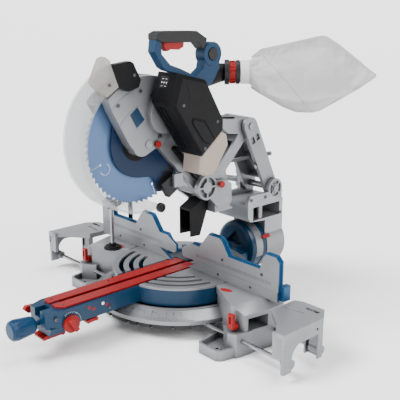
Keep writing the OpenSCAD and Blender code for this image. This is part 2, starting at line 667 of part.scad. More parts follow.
// fork of two flanges on a ribbed web
module rear_link() color(silver) {
    a = atan2(elbow[1] - rear_pin[1], elbow[0] - rear_pin[0]);
    difference() {
        union() {
            for (x = [-fork_out, fork_in]) xplate(x, x + fork_out - fork_in) link2d(rear_pin, 23, elbow, 24);
            // web along the back of the flanges
            translate([0, rear_pin[0], rear_pin[1]]) rotate([a, 0, 0]) {
                block([-fork_in - 1, fork_in + 1], [26, link_l - 62], [-20, -14]);
                for (s = [-1, 1]) translate([0, (link_l - 36) / 2, 0]) rotate([-90, 0, 90]) translate([0, 0, 0])
                    diagonal_rib(s);
                block([-fork_in - 1, fork_in + 1], [26, 31], [-20, 2]);
                block([-fork_in - 1, fork_in + 1], [link_l - 67, link_l - 62], [-20, -6]);
            }
        }
        xcyl(rear_pin, glide_pin / 2 + fit, -60, 60);
        xcyl(elbow, glide_pin / 2 + fit, -60, 60);
        // pockets by the elbow and the long pocket in the right flange's face
        translate([0, rear_pin[0], rear_pin[1]]) rotate([a, 0, 0]) {
            for (z = [-16, 3]) block([fork_out - 5, fork_out + 1], [link_l - 50, link_l - 31], [z, z + 13]);
        }
    }
}
// crossed rib inside the fork, drawn along the link
module diagonal_rib(s) {
    w = 2 * fork_in;
    l = link_l - 100;
    rotate([90, 0, 90]) translate([-w / 2, -l / 2, 6]) linear_extrude(10)
        polygon(s > 0 ? [[0, 0], [4, 0], [w, l - 4], [w, l], [w - 4, l], [0, 4]]
            : [[w, 0], [w, 4], [4, l], [0, l], [0, l - 4], [w - 4, 0]]);
}

// bent forearm: side walls, web, and a cross member over the elbow
forearm_pts = [[front_pin[0] - 20, front_pin[1] + 8], [front_pin[0] - 21, front_pin[1] + 56],
    [elbow[0] - 36, elbow[1] - 20], [elbow[0] - 22, elbow[1] + 8], [elbow[0] + 20, elbow[1] + 8],
    [elbow[0] - 14, elbow[1] - 44], [front_pin[0] + 10, front_pin[1] + 74], [front_pin[0] + 21, front_pin[1] + 6]];
module forearm() color(silver) difference() {
    union() {
        xplate(-arm_half, arm_half) union() {
            polygon(forearm_pts);
            translate(front_pin) circle(22);
            translate(elbow) circle(24);
        }
        // cross member reaching forward over the links
        xplate(-arm_half, arm_half) polygon([[elbow[0] - 10, elbow[1] + 18], [elbow[0] - 92, elbow[1] + 28],
            [elbow[0] - 98, elbow[1] + 6], [elbow[0] - 70, elbow[1] - 14], [elbow[0] - 22, elbow[1] - 20]]);
    }
    xcyl(front_pin, glide_pin / 2 + fit, -60, 60);
    xcyl(elbow, glide_pin / 2 + fit, -60, 60);
    // pockets leave the side walls, a middle web and the hubs
    for (s = [-1, 1]) xplate(s > 0 ? 4 : -arm_half + 8, s > 0 ? arm_half - 8 : -4) {
        polygon([[front_pin[0] - 30, front_pin[1] + 78], [front_pin[0] - 8, front_pin[1] + 66],
            [elbow[0] - 34, elbow[1] - 46], [elbow[0] - 56, elbow[1] - 30]]);
    }
    // the cheek recess between the elbow discs
    xplate(-16, 16) polygon([[elbow[0] + 26, elbow[1] + 30], [elbow[0] + 10, elbow[1] + 30],
        [elbow[0] + 14, elbow[1] - 30], [elbow[0] + 30, elbow[1] - 30]]);
}
module elbow_pin() color(steel) xcyl(elbow, glide_pin / 2, -fork_out - 3, fork_out + 3);
module elbow_pad() color(black)
    xplate(-24, 24) polygon([[elbow[0] - 36, elbow[1] + 22.2], [elbow[0] - 88, elbow[1] + 27.8],
        [elbow[0] - 88, elbow[1] + 31], [elbow[0] - 40, elbow[1] + 27]]);

// sideways guide links, hinged upright: the rear one runs under the front one
guide_r = 12;
module guide_link(a, b, z0) {
    d = (b - a) / norm(b - a);
    n = [-d[1], d[0]];
    difference() {
        union() {
            for (c = [a, b]) zcyl(c, guide_r, z0, z0 + guide_t / 2 - slip);
            zplate(z0, z0 + guide_t / 2 - slip) polygon([a + 11 * n, b + 11 * n, b - 11 * n, a - 11 * n]);
        }
        zplate(z0 + 4, z0 + guide_t) polygon([a + 24 * d + 6 * n, b - 24 * d + 6 * n, b - 24 * d - 6 * n,
            a + 24 * d - 6 * n]);
    }
}
module guide_rear_link() color(silver) {
    a = [guide_x, rear_pin[0]];
    difference() {
        union() {
            guide_link(a, guide_elbow, guide_z - guide_t / 2);
            zcyl(a, guide_r + 0.5, guide_z - guide_t / 2 - 0.1, guide_z + guide_t / 2);
        }
        zcyl(a, guide_pin_d / 2 + fit, 0, 500);
        zcyl(guide_elbow, guide_pin_d / 2 + seat, 0, 500);
    }
}
module guide_front_link() color(silver) {
    a = [guide_x, front_pin[0]];
    difference() {
        union() {
            guide_link(a, guide_elbow, guide_z + slip);
            zcyl(a, guide_r + 0.5, guide_z - guide_t / 2 - 0.1, guide_z + guide_t / 2);
        }
        zcyl(a, guide_pin_d / 2 + 1.5, 0, 500);
        zcyl(guide_elbow, guide_pin_d / 2 + fit, 0, 500);
    }
}
module guide_pin() color(steel)
    zcyl(guide_elbow, guide_pin_d / 2, guide_z - guide_t / 2, guide_z + guide_t / 2 + 3);

// ---------------------------------------------------------------- carriage

lug_x = [35, 50];
lug_left = [-62, -46];
web_y = [front_pin[0] - 43, front_pin[0] - 31];
module carriage() color(silver) difference() {
    union() {
        // ears round the front glide pin
        both() xplate(fork_in, fork_out) union() {
            translate(front_pin) circle(20);
            polygon([[web_y[0], glide_z - 18], [web_y[0], glide_z + 53], [front_pin[0] - 4, glide_z + 53],
                [front_pin[0] + 18, glide_z + 40], [front_pin[0] + 18, glide_z - 10], [front_pin[0] + 8, glide_z - 18]]);
        }
        // web between the ears, and the lip under it
        block([lug_left[0], fork_out], web_y, [glide_z - 18, glide_z + 16]);
        block([-fork_out, fork_out], [web_y[0], front_pin[0] + 20], [glide_z - 31, glide_z - 24.5]);
        for (x = [-fork_out, fork_in]) block([x, x + fork_out - fork_in], [web_y[0], front_pin[0] + 12], [glide_z - 25, glide_z - 16]);
        block([-fork_out, fork_out], web_y, [glide_z - 25, glide_z - 16]);
        // lugs of the chop pin
        spoke_boss(chop_pin, lug_r, 15, lug_x[0], lug_x[1]);
        xplate(lug_left[0], lug_left[1]) link2d(chop_pin, lug_r - 5, [web_y[0] + 10, glide_z + 8], 22);
        xplate(lug_x[0], lug_x[1]) difference() {
            polygon([[chop_pin[0] + 10, chop_pin[1] - 32], [web_y[1] - 3, glide_z - 18], [web_y[1] - 3, glide_z + 53],
                [chop_pin[0] + 10, chop_pin[1] + 31]]);
            translate(chop_pin) circle(lug_r - 1);
        }
        // lugs of the sideways guide
        for (z = [guide_z - guide_t / 2 - 12, guide_z + guide_t / 2 + 0.4])
            zplate(z, z + 11.6) union() {
                translate([guide_x, front_pin[0]]) circle(14);
                translate([guide_x, front_pin[0] - 14]) square([-fork_in - guide_x, 28]);
            }
    }
    xcyl(front_pin, glide_pin / 2 + seat, -60, 60);
    xcyl(chop_pin, chop_pin_d / 2 + seat, -70, 60);
    zcyl([guide_x, front_pin[0]], guide_pin_d / 2 + seat, 0, 500);
    // room for the head's barrel
    xcyl(chop_pin, barrel_r + 2, lug_left[1], lug_x[0]);
    // bore of the transport lock
    xcyl(lock_p, 5 + fit, fork_in - 1, fork_out + 1);
}
module carriage_pins() color(steel) {
    xcyl(front_pin, glide_pin / 2, -fork_out, fork_out);
    xcyl(chop_pin, chop_pin_d / 2, lug_left[0] - 2, lug_x[1]);
    zcyl([guide_x, front_pin[0]], guide_pin_d / 2, guide_z - guide_t / 2 - 13, guide_z + guide_t / 2 + 13);
}
// red transport lock, pushed in to hold the head down
lock_p = [front_pin[0] - 28, glide_z + 46];
module lock_pin() color(red) {
    xcyl(lock_p, 5, fork_in + 1, fork_out + 8);
    xcyl(lock_p, 9, fork_out + 8, fork_out + 13);
}

// open dust chute behind the blade
chute_w = 22;
chute_y = 18.5;
chute_z = table_h + slide_fence_h + 6;
module dust_chute() color(black) difference() {
    xplate(-chute_w, chute_w) polygon([[chute_y, chute_z], [chute_y + 34, chute_z - 2], [chute_y + 58, glide_z - 30],
        [web_y[0] - 0.3, glide_z - 14], [web_y[0] - 0.3, glide_z + 4], [chute_y + 40, glide_z + 4],
        [chute_y, glide_z - 16]]);
    xplate(-chute_w + 3, chute_w - 3) polygon([[chute_y - 1, chute_z - 4], [chute_y + 31, chute_z - 6],
        [chute_y + 54, glide_z - 32], [chute_y + 48, glide_z - 2], [chute_y + 38, glide_z - 1], [chute_y - 1, glide_z - 22]]);
}

// ---------------------------------------------------------------- saw head

// outline of the gear case in the (y, z) plane, from the hub
module gear_outline() {
    intersection() {
        translate(hub) circle(cover_r - 1);
        polygon([hub + [-44, -8], hub + [-55, 4], hub + [-101, 86], hub + [-116, 124], hub + [-60, 170], hub + [28, 166],
            hub + [52, 110], hub + [66, 40], hub + [62, 8], hub + [-4, -22]]);
    }
    link2d(hub + [-18, 0], 27, hub + [46, 28], 27);
}
arm_x = [10, 28];
module head_casting() color(silver) difference() {
    union() {
        // gear case
        xplate(11.5, 42) gear_outline();
        // upper guard: rim and left wall
        difference() {
            xplate(-29, 12) upper_guard(cover_r);
            xplate(-26, 13) upper_guard(cover_r - 5);
        }
        // boss that the swinging guard turns on
        xcyl(hub, 36 - fit, -guard_w, -28.5);
        // arm down to the chop barrel, and the barrel
        xplate(arm_x[0], arm_x[1]) link2d(hub + [68, 0], 30, chop_pin, 22);
        xcyl(chop_pin, barrel_r, barrel_x[0], barrel_x[1]);
        // mount of the motor
        xcyl(hub + [40, 70], 46, 41, 60);
        // light bracket by the arm
        block([27, 36], [hub[0] + 84, hub[0] + 112], [hub[1] - 122, hub[1] - 88]);
    }
    xcyl(chop_pin, chop_pin_d / 2 + fit, -70, 70);
    // spindle bore, lock button's bore and hex socket
    xcyl(hub, 14, -40, 20);
    xcyl(hub + [24, -2], 5 + fit, 30, 43);
    xcyl(hub + [34, 16], 5, 38, 43);
    // shallow recess for the marking, left bare
    xplate(41, 43) polygon([hub + [-34, 40], hub + [-8, 60], hub + [-30, 96], hub + [-56, 76]]);
}
// sector of the upper guard, from the nose round to the back
module upper_guard(r) intersection() {
    translate(hub) circle(r);
    polygon([hub + [-40, -30], hub + [40, -30], hub + 300 * [cos(38), sin(38)], hub + 300 * [cos(85), sin(85)],
        hub + 300 * [cos(132), sin(132)]]);
}

module guard_block() color(black) xplate(42.3, 62) difference() {
    polygon([hub + [-94, 144], hub + [-111, 188], hub + [-106, 194], hub + [-62, 199], hub + [-54, 195],
        hub + [-34, 156], hub + [-40, 140], hub + [-70, 132]]);
    translate(hub + [-52, 168]) circle(3);
}

module guard_baffle() color(clear) xplate(42.3, 60) polygon([hub + [-94.5, 143.8], hub + [-111.5, 187.8],
    hub + [-116, 203], hub + [-129, 212], hub + [-140, 208], hub + [-164, 160], hub + [-160, 150], hub + [-126, 124]]);

// dark plate between the blade and the gear case, with its tail guard
module blade_cover() {
    color(navy) difference() {
        xplate(6, 9.5) {
            translate(hub) circle(86);
            polygon([hub + [-60, -60], hub + [-8, -86], hub + [28, -89], hub + [40, -98], hub + [54, -132],
                hub + [100, -118], hub + [104, -60], hub + [86, 0]]);
            polygon([hub, hub + [-84, 16], hub + [-78, 70], hub + [0, 120], hub + [90, 60]]);
        }
        xcyl(hub, 26, 5, 11);
    }
    color(black) xplate(9.4, 26.7) polygon([hub + [50, -110], hub + [74, -148], hub + [100, -132], hub + [92, -88]]);
}

// motor housing outline, from the hub
motor_x = [60, 140];
module motor_outline() polygon([hub + [18, 172], hub + [6, 132], hub + [-4, 104], hub + [82, -26], hub + [90, -28],
    hub + [157, 26], hub + [157, 54], hub + [100, 152]]);
module motor_housing() color(black) difference() {
    hull() {
        xplate(motor_x[0], motor_x[1] - 10) motor_outline();
        xplate(motor_x[0], motor_x[1]) translate(hub + [78, 70]) scale(0.9) translate(-hub - [78, 70]) motor_outline();
    }
    // long cooling grooves down the front face
    for (x = [72, 84, 96]) translate([x, hub[0] + 4, hub[1] + 92]) rotate([-33.5, 0, 0])
        translate([0, -14, -118]) cube([6, 20, 112]);
    // raised panel's outline on the right face
    xplate(motor_x[1] - 2, motor_x[1] + 1) difference() {
        polygon([hub + [52, 70], hub + [90, 60], hub + [124, 10], hub + [112, -4], hub + [86, 6], hub + [48, 56]]);
        polygon([hub + [55, 67], hub + [88, 57], hub + [120, 10], hub + [111, 0], hub + [88, 9], hub + [52, 57]]);
    }
}

// two dark rails along the arm, joined at their ends
module rail_outline(y0, y1) {
    p = hub + [80, -24];
    q = chop_pin + [-30, 26];
    polygon([p + y0 * (q - p), p + y0 * (q - p) + [8, 8], p + y1 * (q - p) + [8, 9], p + y1 * (q - p)]);
}
module arm_rails() color(black) {
    for (x = [28.3, 38]) xplate(x, x + 5) rail_outline(0, 1);
    xplate(30, 41) rail_outline(0, 0.12);
    xplate(30, 41) rail_outline(0.9, 1);
}

// D-handle on top of the housing
handle_x = [82, 114];
module handle_frame() color(tool_blue) difference() {
    union() {
        xplate(handle_x[0] + 3, handle_x[1] - 3) polygon([hub + [-32, 220], hub + [-28, 245.6], hub + [-14, 241],
            hub + [-12, 214], hub + [12, 190], hub + [44, 179], hub + [70, 168], hub + [74, 159.2],
            hub + [19, 172.4], hub + [4, 177], hub + [-8, 184]]);
        xcyl(hub + [140, 208], 28, handle_x[0], handle_x[1]);
        xplate(handle_x[0] + 2, handle_x[1] - 2) polygon([hub + [124, 226], hub + [166, 202], hub + [162, 172],
            hub + [140, 140], hub + [116.5, 126.5], hub + [100.6, 152.6], hub + [84, 156.6], hub + [112, 176]]);
    }
    xcyl(hub + [140, 208], 15, handle_x[1] - 4, handle_x[1] + 1);
}
button_p = hub + [18, 253];
module handle_grip() color(black) {
    difference() {
        xplate(handle_x[0], handle_x[1]) polygon([hub + [-28, 258], hub + [-14, 264], hub + [90, 262], hub + [122, 244],
            hub + [112, 220], hub + [96, 236], hub + [-10, 240], hub + [-28, 246]]);
        // slot that the trigger squeezes into, and the lock button's bore
        block([handle_x[0] + 7.4, handle_x[1] - 7.4], [hub[0] - 5, hub[0] + 64], [hub[1] + 220, hub[1] + 247]);
        xcyl(button_p, 6 + fit, handle_x[0] - 1, handle_x[0] + 6);
    }
    xcyl(hub + [140, 208], 14, handle_x[1] - 4, handle_x[1] + 2);
}
trigger_p = hub + [-2, 235];
module trigger() color(red) xplate(handle_x[0] + 8, handle_x[1] - 8)
    polygon([trigger_p + [0, 4], trigger_p + [60, 4], trigger_p + [58, -8], trigger_p + [44, -14],
        trigger_p + [22, -12], trigger_p + [8, -16], trigger_p + [0, -4]]);
module lock_lever() color(red) xcyl(button_p, 6, handle_x[0] - 5, handle_x[0] + 2);
module spindle_lock() color(red) {
    xcyl(hub + [24, -2], 5, 34, 46);
    xcyl(hub + [24, -2], 8, 46, 50);
}

// spout at the back of the upper guard, collar and bag
spout_dir = 47.8;
spout_p = [50, hub[0] + 240, hub[1] + 155];
module spout_frame() translate(spout_p) rotate([0, 0, spout_dir]) rotate([0, 90, 0]) children();
module dust_spout() color(black) {
    // flat duct from the side of the upper guard, clear of the swinging guard
    xcyl(hub + [104, 104], 17, 12.3, 50);
    hull() {
        xcyl(hub + [104, 104], 17, 42, 58);
        xcyl(hub + [150, 140], 20, 38, 58);
    }
    hull() {
        xcyl(hub + [150, 140], 20, 38, 58);
        spout_frame() translate([0, 0, -12]) cylinder(h = 12, r = 22, $fn = 32);
    }
    spout_frame() cylinder(h = 30, r = 22 - seat);
}
module bag_collar() color(red) spout_frame() difference() {
    union() {
        cylinder(h = 12, r = 31);
        translate([0, 0, 12]) cylinder(h = 16, r = 27);
        translate([0, 0, 28]) cylinder(h = 10, r = 30);
    }
    translate([0, 0, -1]) cylinder(h = 60, r = 22);
}
module dust_bag() color([0.93, 0.93, 0.92]) spout_frame() hull() {
    translate([0, 0, 38.3]) cylinder(h = 2, r = 27, $fn = 32);
    translate([-60, 0, 80]) sphere(r = 26, $fn = 16);
    translate([-92, 0, 210]) sphere(r = 18, $fn = 16);
    translate([14, 0, 370]) sphere(r = 16, $fn = 16);
    translate([96, 0, 190]) sphere(r = 22, $fn = 16);
    translate([40, 0, 90]) sphere(r = 30, $fn = 16);
    translate([0, 0, 200]) sphere(r = 48, $fn = 16);
}

// battery pack under the housing
module battery() color([0.85, 0.83, 0.80]) hull() {
    xplate(64, 124) polygon([hub + [90.5, -28.6], hub + [156.5, 24.6], hub + [176, 14], hub + [182, -14],
        hub + [138, -76], hub + [112, -82], hub + [86, -72]]);
    xplate(70, 128) polygon([hub + [94, -29], hub + [153, 18], hub + [172, 10], hub + [176, -14],
        hub + [136, -72], hub + [112, -76], hub + [92, -66]]);
}

// ---------------------------------------------------------------- blade and guard

module blade() color(steel) difference() {
    pitch = 360 / teeth;
    root = blade_r - 7;
    // each tooth rises gently, then falls steeply into its gullet
    tooth = [[root + 2, 0], [blade_r - 2.5, 0.3], [blade_r, 0.6], [root + 0.5, 0.68], [root, 0.86]];
    xplate(-blade_t / 2, blade_t / 2) polygon([for (i = [0:teeth - 1]) for (q = tooth)
        hub + q[0] * [cos((i + q[1]) * pitch), sin((i + q[1]) * pitch)]]);
    xcyl(hub, blade_bore / 2, -5, 5);
    // expansion slots with their end holes
    for (a = [20:90:290]) translate([0, hub[0], hub[1]]) rotate([a, 0, 0]) {
        block([-3, 3], [root - 26, root + 1], [-0.8, 0.8]);
        xcyl([root - 27, 0], 3, -3, 3);
    }
}
module blade_flanges() color(steel) {
    xcyl(hub, blade_bore / 2 - fit, -6, 4);
    xcyl(hub, 24, -7, -blade_t / 2 - 0.01);
    xcyl(hub, 24, blade_t / 2 + 0.01, 5);
    xcyl(hub, 14 - fit, 4, 19.5);
    xcyl(hub, 13.9, -19, -6);
    translate([-26, hub[0], hub[1]]) rotate([0, 90, 0]) cylinder(h = 8, r = 10, $fn = 6);
}

guard_from = 108;
guard_to = 286;
guard_off = [-7, 11];                      // the shell's centre from the blade's
roller_a = 284;
roller_p = hub + guard_off + (guard_r - 1) * [cos(roller_a), sin(roller_a)];
module sector(a0, a1, r) polygon(concat([hub], [for (a = [a0:(a1 - a0) / 6:a1 + 0.01]) hub + r * [cos(a), sin(a)]]));
module swing_guard() color(clear) difference() {
    union() {
        intersection() {
            difference() {
                xcyl(hub + guard_off, guard_r, -guard_w, guard_w);
                xcyl(hub + guard_off, guard_r - 3, -guard_w + 3, guard_w - 3);
                xcyl(hub, cover_r + 3, 0, guard_w + 1);
            }
            xplate(-guard_w - 1, guard_w + 1) sector(guard_from, guard_to, 1.3 * guard_r);
        }
        xcyl(hub, 44, -guard_w, -guard_w + 3);
        xcyl(roller_p, 9, guard_w - 3, guard_w);
    }
    xcyl(hub, 36, -guard_w - 1, 0);
}
module guard_roller() color(black) {
    p = roller_p;
    difference() {
        xcyl(p, 12, guard_w + 0.5, guard_w + 9);
        xcyl(p, 8, guard_w + 6, guard_w + 10);
    }
    xcyl(p, 3, guard_w + 0.3, guard_w + 8);
}

base_casting();
mitre_scale();
detent_ring();
fixed_fence();
right_support();
left_support();
right_rods();
left_rods();
right_support_lever();
left_support_lever();
right_fence();
left_fence();
clamp_post();
clamp_arm();
clamp_spindle();
clamp_foot();
turntable();
table_top();
kerf_plates();
mitre_knob();
detent_lever();
override_lever();
bevel_dial();
bevel_lever();
bevel_drum();
bevel_scale();
tower();
tower_pins();
bevel_pointer();
rear_link();
forearm();
elbow_pin();
elbow_pad();
carriage();
carriage_pins();
lock_pin();
dust_chute();
guide_rear_link();
guide_front_link();
guide_pin();
head_casting();
guard_block();
guard_baffle();
blade_cover();
motor_housing();
arm_rails();
handle_frame();
handle_grip();
trigger();
lock_lever();
spindle_lock();
dust_spout();
bag_collar();
dust_bag();
battery();
blade();
blade_flanges();
swing_guard();
guard_roller();
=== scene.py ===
import json
import math

import bmesh
import bpy
from mathutils import Euler, Matrix, Vector, noise

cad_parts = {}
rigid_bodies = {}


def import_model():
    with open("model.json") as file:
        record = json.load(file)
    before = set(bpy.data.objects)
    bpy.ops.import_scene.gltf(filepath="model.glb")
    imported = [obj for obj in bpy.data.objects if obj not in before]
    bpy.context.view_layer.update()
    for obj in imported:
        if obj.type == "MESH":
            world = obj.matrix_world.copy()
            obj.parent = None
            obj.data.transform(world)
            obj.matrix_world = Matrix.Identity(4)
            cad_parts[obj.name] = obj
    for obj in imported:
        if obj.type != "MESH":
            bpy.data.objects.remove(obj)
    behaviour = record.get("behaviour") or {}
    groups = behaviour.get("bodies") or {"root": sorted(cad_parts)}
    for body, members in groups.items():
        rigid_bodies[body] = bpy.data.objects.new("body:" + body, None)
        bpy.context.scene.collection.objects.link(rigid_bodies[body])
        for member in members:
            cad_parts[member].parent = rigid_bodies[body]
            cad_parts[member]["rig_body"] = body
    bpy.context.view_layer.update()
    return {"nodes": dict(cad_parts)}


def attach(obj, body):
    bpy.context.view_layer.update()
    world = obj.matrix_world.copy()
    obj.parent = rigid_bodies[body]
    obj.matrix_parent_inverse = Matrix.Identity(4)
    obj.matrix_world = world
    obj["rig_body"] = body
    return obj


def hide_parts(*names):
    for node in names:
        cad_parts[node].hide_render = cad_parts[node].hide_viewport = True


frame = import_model()

# ---- Studio ------------------------------------------------------------------
# A pale floor that sweeps up far behind the saw, with broad soft lights from the front left,
# the right and above. The camera stands in front on the right, a little above the head.


def grown(hue, value=1.0):
    return tuple(min(1.0, c * value) for c in hue) + (1.0,)


def node(tree, kind, **fields):
    """One node of a tree. Fields named in_0, in_Size ... are links or values of its inputs."""
    n = tree.nodes.new(kind)
    for key, value in fields.items():
        if not key.startswith("in_"):
            setattr(n, key, value)
    for key, value in fields.items():
        if key.startswith("in_"):
            label = key[3:]
            socket = n.inputs[int(label) if label.isdigit() else label.replace("_", " ")]
            if isinstance(value, bpy.types.NodeSocket):
                tree.links.new(value, socket)
            else:
                socket.default_value = value
    return n


def maths(tree, operation, *terms):
    """The result of one sum on links or values."""
    inputs = {f"in_{i}": term for i, term in enumerate(terms)}
    return node(tree, "ShaderNodeMath", operation=operation, **inputs).outputs[0]


def parts_of(m):
    """A material's tree, and the inputs of its surface."""
    return m.node_tree, m.node_tree.nodes["Principled BSDF"].inputs


def place_in(tree):
    """The place of the point being shaded."""
    return node(tree, "ShaderNodeTexCoord").outputs["Object"]


def bench_finish():
    m = bpy.data.materials.new("bench_top")
    m.use_nodes = True
    tree, skin = parts_of(m)
    place = place_in(tree)
    skin["Roughness"].default_value = 0.75
    cloud = node(tree, "ShaderNodeTexNoise", in_Vector=place, in_Scale=3.0)
    ramp = node(tree, "ShaderNodeValToRGB", in_Fac=cloud.outputs["Fac"])
    for end, grey in zip(ramp.color_ramp.elements, (0.90, 0.93)):
        end.color = grown((grey, grey, grey))
    tree.links.new(ramp.outputs["Color"], skin["Base Color"])
    return m


def shown(name, data):
    """A piece in the scene that shows a mesh, a lamp or the like."""
    piece = bpy.data.objects.new(name, data)
    bpy.context.collection.objects.link(piece)
    return piece


bench = bpy.data.meshes.new("bench_top")
flat_to = 8  # metres from the saw to where the floor starts to rise
rings = [0.02, 2, 4, 6, flat_to] + [flat_to + 1.5 * i for i in range(1, 15)]
steps = 64
floor = [(r * math.cos(math.tau * i / steps), r * math.sin(math.tau * i / steps),
          0.016 * max(0, r - flat_to) ** 2) for r in rings for i in range(steps)]
faces = [(k * steps + i, (k + 1) * steps + i, (k + 1) * steps + (i + 1) % steps,
          k * steps + (i + 1) % steps) for k in range(len(rings) - 1) for i in range(steps)]
bench.from_pydata(floor, [], faces + [tuple(range(steps))])
for f in bench.polygons:
    f.use_smooth = True
bench.materials.append(bench_finish())
bench_top = shown("bench_top", bench)

world = bpy.data.worlds.new("studio")
world.use_nodes = True
sky = world.node_tree.nodes["Background"].inputs
sky["Color"].default_value = (1.0, 1.0, 1.0, 1.0)
sky["Strength"].default_value = 0.45
bpy.context.scene.world = world


def soft_light(name, comes_from, power, spread):
    lamp = bpy.data.lights.new(name, "SUN")
    lamp.energy = power
    lamp.angle = spread
    o = shown(name, lamp)
    o.location = Vector(comes_from) * 3
    o.rotation_euler = (-Vector(comes_from)).to_track_quat("-Z", "Y").to_euler()


soft_light("light_key", (-0.45, -0.85, 1.15), 5.6, 0.45)
soft_light("light_side", (1.0, -0.10, 0.95), 2.3, 0.6)
soft_light("light_top", (0.1, 0.45, 1.6), 2.0, 0.5)

eye = bpy.data.cameras.new("camera")
eye.lens = 63.6
eye.sensor_width = 36.0
camera = shown("camera", eye)
camera.location = (1.3455, -1.1487, 0.7874)
look = Vector((0.0186, 0.0553, 0.2832)) - camera.location
camera.rotation_euler = look.to_track_quat("-Z", "Y").to_euler()
bpy.context.scene.camera = camera

# ---- Base casting --------------------------------------------------------------
# One pressure die casting in aluminium, shot-blasted and left bare. It has the
# two side tables, the front feet, the rear bolt lugs and the pan of the turntable.


def bumped(m, height, strength, distance):
    """Raises a finish by a link."""
    tree, skin = parts_of(m)
    lift = node(tree, "ShaderNodeBump", in_Strength=strength, in_Distance=distance,
                in_Height=height)
    tree.links.new(lift.outputs["Normal"], skin["Normal"])
    return m


def surface(name, hue, rough, metal=0.0, patch=0.06, patch_size=14.0, bump=0.06, bump_size=900.0,
            stretch=(1, 1, 1), worn=0.0, corner_shade=0.0, rough_swing=0.05, coat=0.0, shine=0.5):
    """Colour in soft patches, a fine bump and uneven gloss, with rubbed edges and painted shade
    darkening the corners.
    """
    m = bpy.data.materials.new(name)
    m.use_nodes = True
    tree, skin = parts_of(m)
    place = place_in(tree)
    for label, value in (("Metallic", metal), ("Specular IOR Level", shine), ("Coat Weight", coat),
                         ("Coat Roughness", 0.15)):
        skin[label].default_value = value
    cloud = node(tree, "ShaderNodeTexNoise", in_Vector=place, in_Scale=patch_size, in_Detail=5.0)
    tint = node(tree, "ShaderNodeValToRGB", in_Fac=cloud.outputs["Fac"])
    for end, at, value in zip(tint.color_ramp.elements, (0.3, 0.7), (1.0 - patch, 1.0 + patch)):
        end.position = at
        end.color = grown(hue, value)
    colour = tint.outputs["Color"]
    if worn:
        edge = node(tree, "ShaderNodeNewGeometry").outputs["Pointiness"]
        sharp = node(tree, "ShaderNodeMapRange", in_Value=edge, in_From_Min=0.53, in_From_Max=0.64,
                     in_To_Max=worn)
        rub = node(tree, "ShaderNodeMix", data_type="RGBA", in_Factor=sharp.outputs["Result"],
                   in_A=colour, in_B=grown(hue, 1.0 + 2.0 * worn))
        colour = rub.outputs["Result"]
    # Painted shade: the colour is darkened where ambient occlusion finds corners and recesses.
    if corner_shade:
        close = node(tree, "ShaderNodeAmbientOcclusion", samples=6, in_Distance=0.03)
        unshaded = node(tree, "ShaderNodeMapRange", in_Value=close.outputs["AO"], in_From_Min=0.2,
                         in_From_Max=0.9, in_To_Min=1.0 - corner_shade)
        dark = node(tree, "ShaderNodeMix", data_type="RGBA", blend_type="MULTIPLY", in_Factor=1.0,
                    in_A=colour, in_B=unshaded.outputs["Result"])
        colour = dark.outputs["Result"]
    tree.links.new(colour, skin["Base Color"])

    turn = node(tree, "ShaderNodeMapping", in_Vector=place, in_Scale=stretch)
    grain = node(tree, "ShaderNodeTexNoise", in_Vector=turn.outputs["Vector"], in_Scale=bump_size,
                 in_Detail=3.0).outputs["Fac"]
    gloss = node(tree, "ShaderNodeMapRange", in_Value=grain, in_To_Min=rough - rough_swing,
                 in_To_Max=rough + rough_swing)
    tree.links.new(gloss.outputs["Result"], skin["Roughness"])
    return bumped(m, grain, bump, 0.0004)


def painted(m, where, hue):
    """Covers a finish with one flat colour where a link reads one."""
    tree, skin = parts_of(m)
    paint = node(tree, "ShaderNodeMix", data_type="RGBA", in_Factor=where,
                 in_A=skin["Base Color"].links[0].from_socket, in_B=(*hue, 1))
    tree.links.new(paint.outputs["Result"], skin["Base Color"])
    return m


def dress(names, finish):
    """Gives the finish to solids that are right as they are."""
    for name in names.split():
        o = frame["nodes"][name]
        o.data.materials.clear()
        o.data.materials.append(finish)


def drawn(piece):
    """The mesh that a piece shows, with its modifiers."""
    bpy.context.view_layer.update()
    seen = piece.evaluated_get(bpy.context.evaluated_depsgraph_get())
    return bpy.data.meshes.new_from_object(seen)


def settle(piece):
    """Turns a piece's modifiers into plain mesh."""
    mesh = drawn(piece)
    piece.modifiers.clear()
    piece.data = mesh
    return piece


def flattened(name, data):
    """The mesh that a text or a curve draws."""
    rough = shown(name, data)
    mesh = drawn(rough)
    bpy.data.objects.remove(rough)
    return mesh


def mesh_of(name, bm, finish):
    """Ends a bmesh as a mesh of one finish."""
    mesh = bpy.data.meshes.new(name)
    bm.to_mesh(mesh)
    bm.free()
    mesh.materials.append(finish)
    return mesh


def bevelled(piece, width, **settings):
    """Breaks a piece's edges by a width in mm."""
    edges = piece.modifiers.new("edges", "BEVEL")
    edges.width = width / 1000
    edges.segments = 2
    edges.limit_method = "ANGLE"
    for key, value in settings.items():
        setattr(edges, key, value)


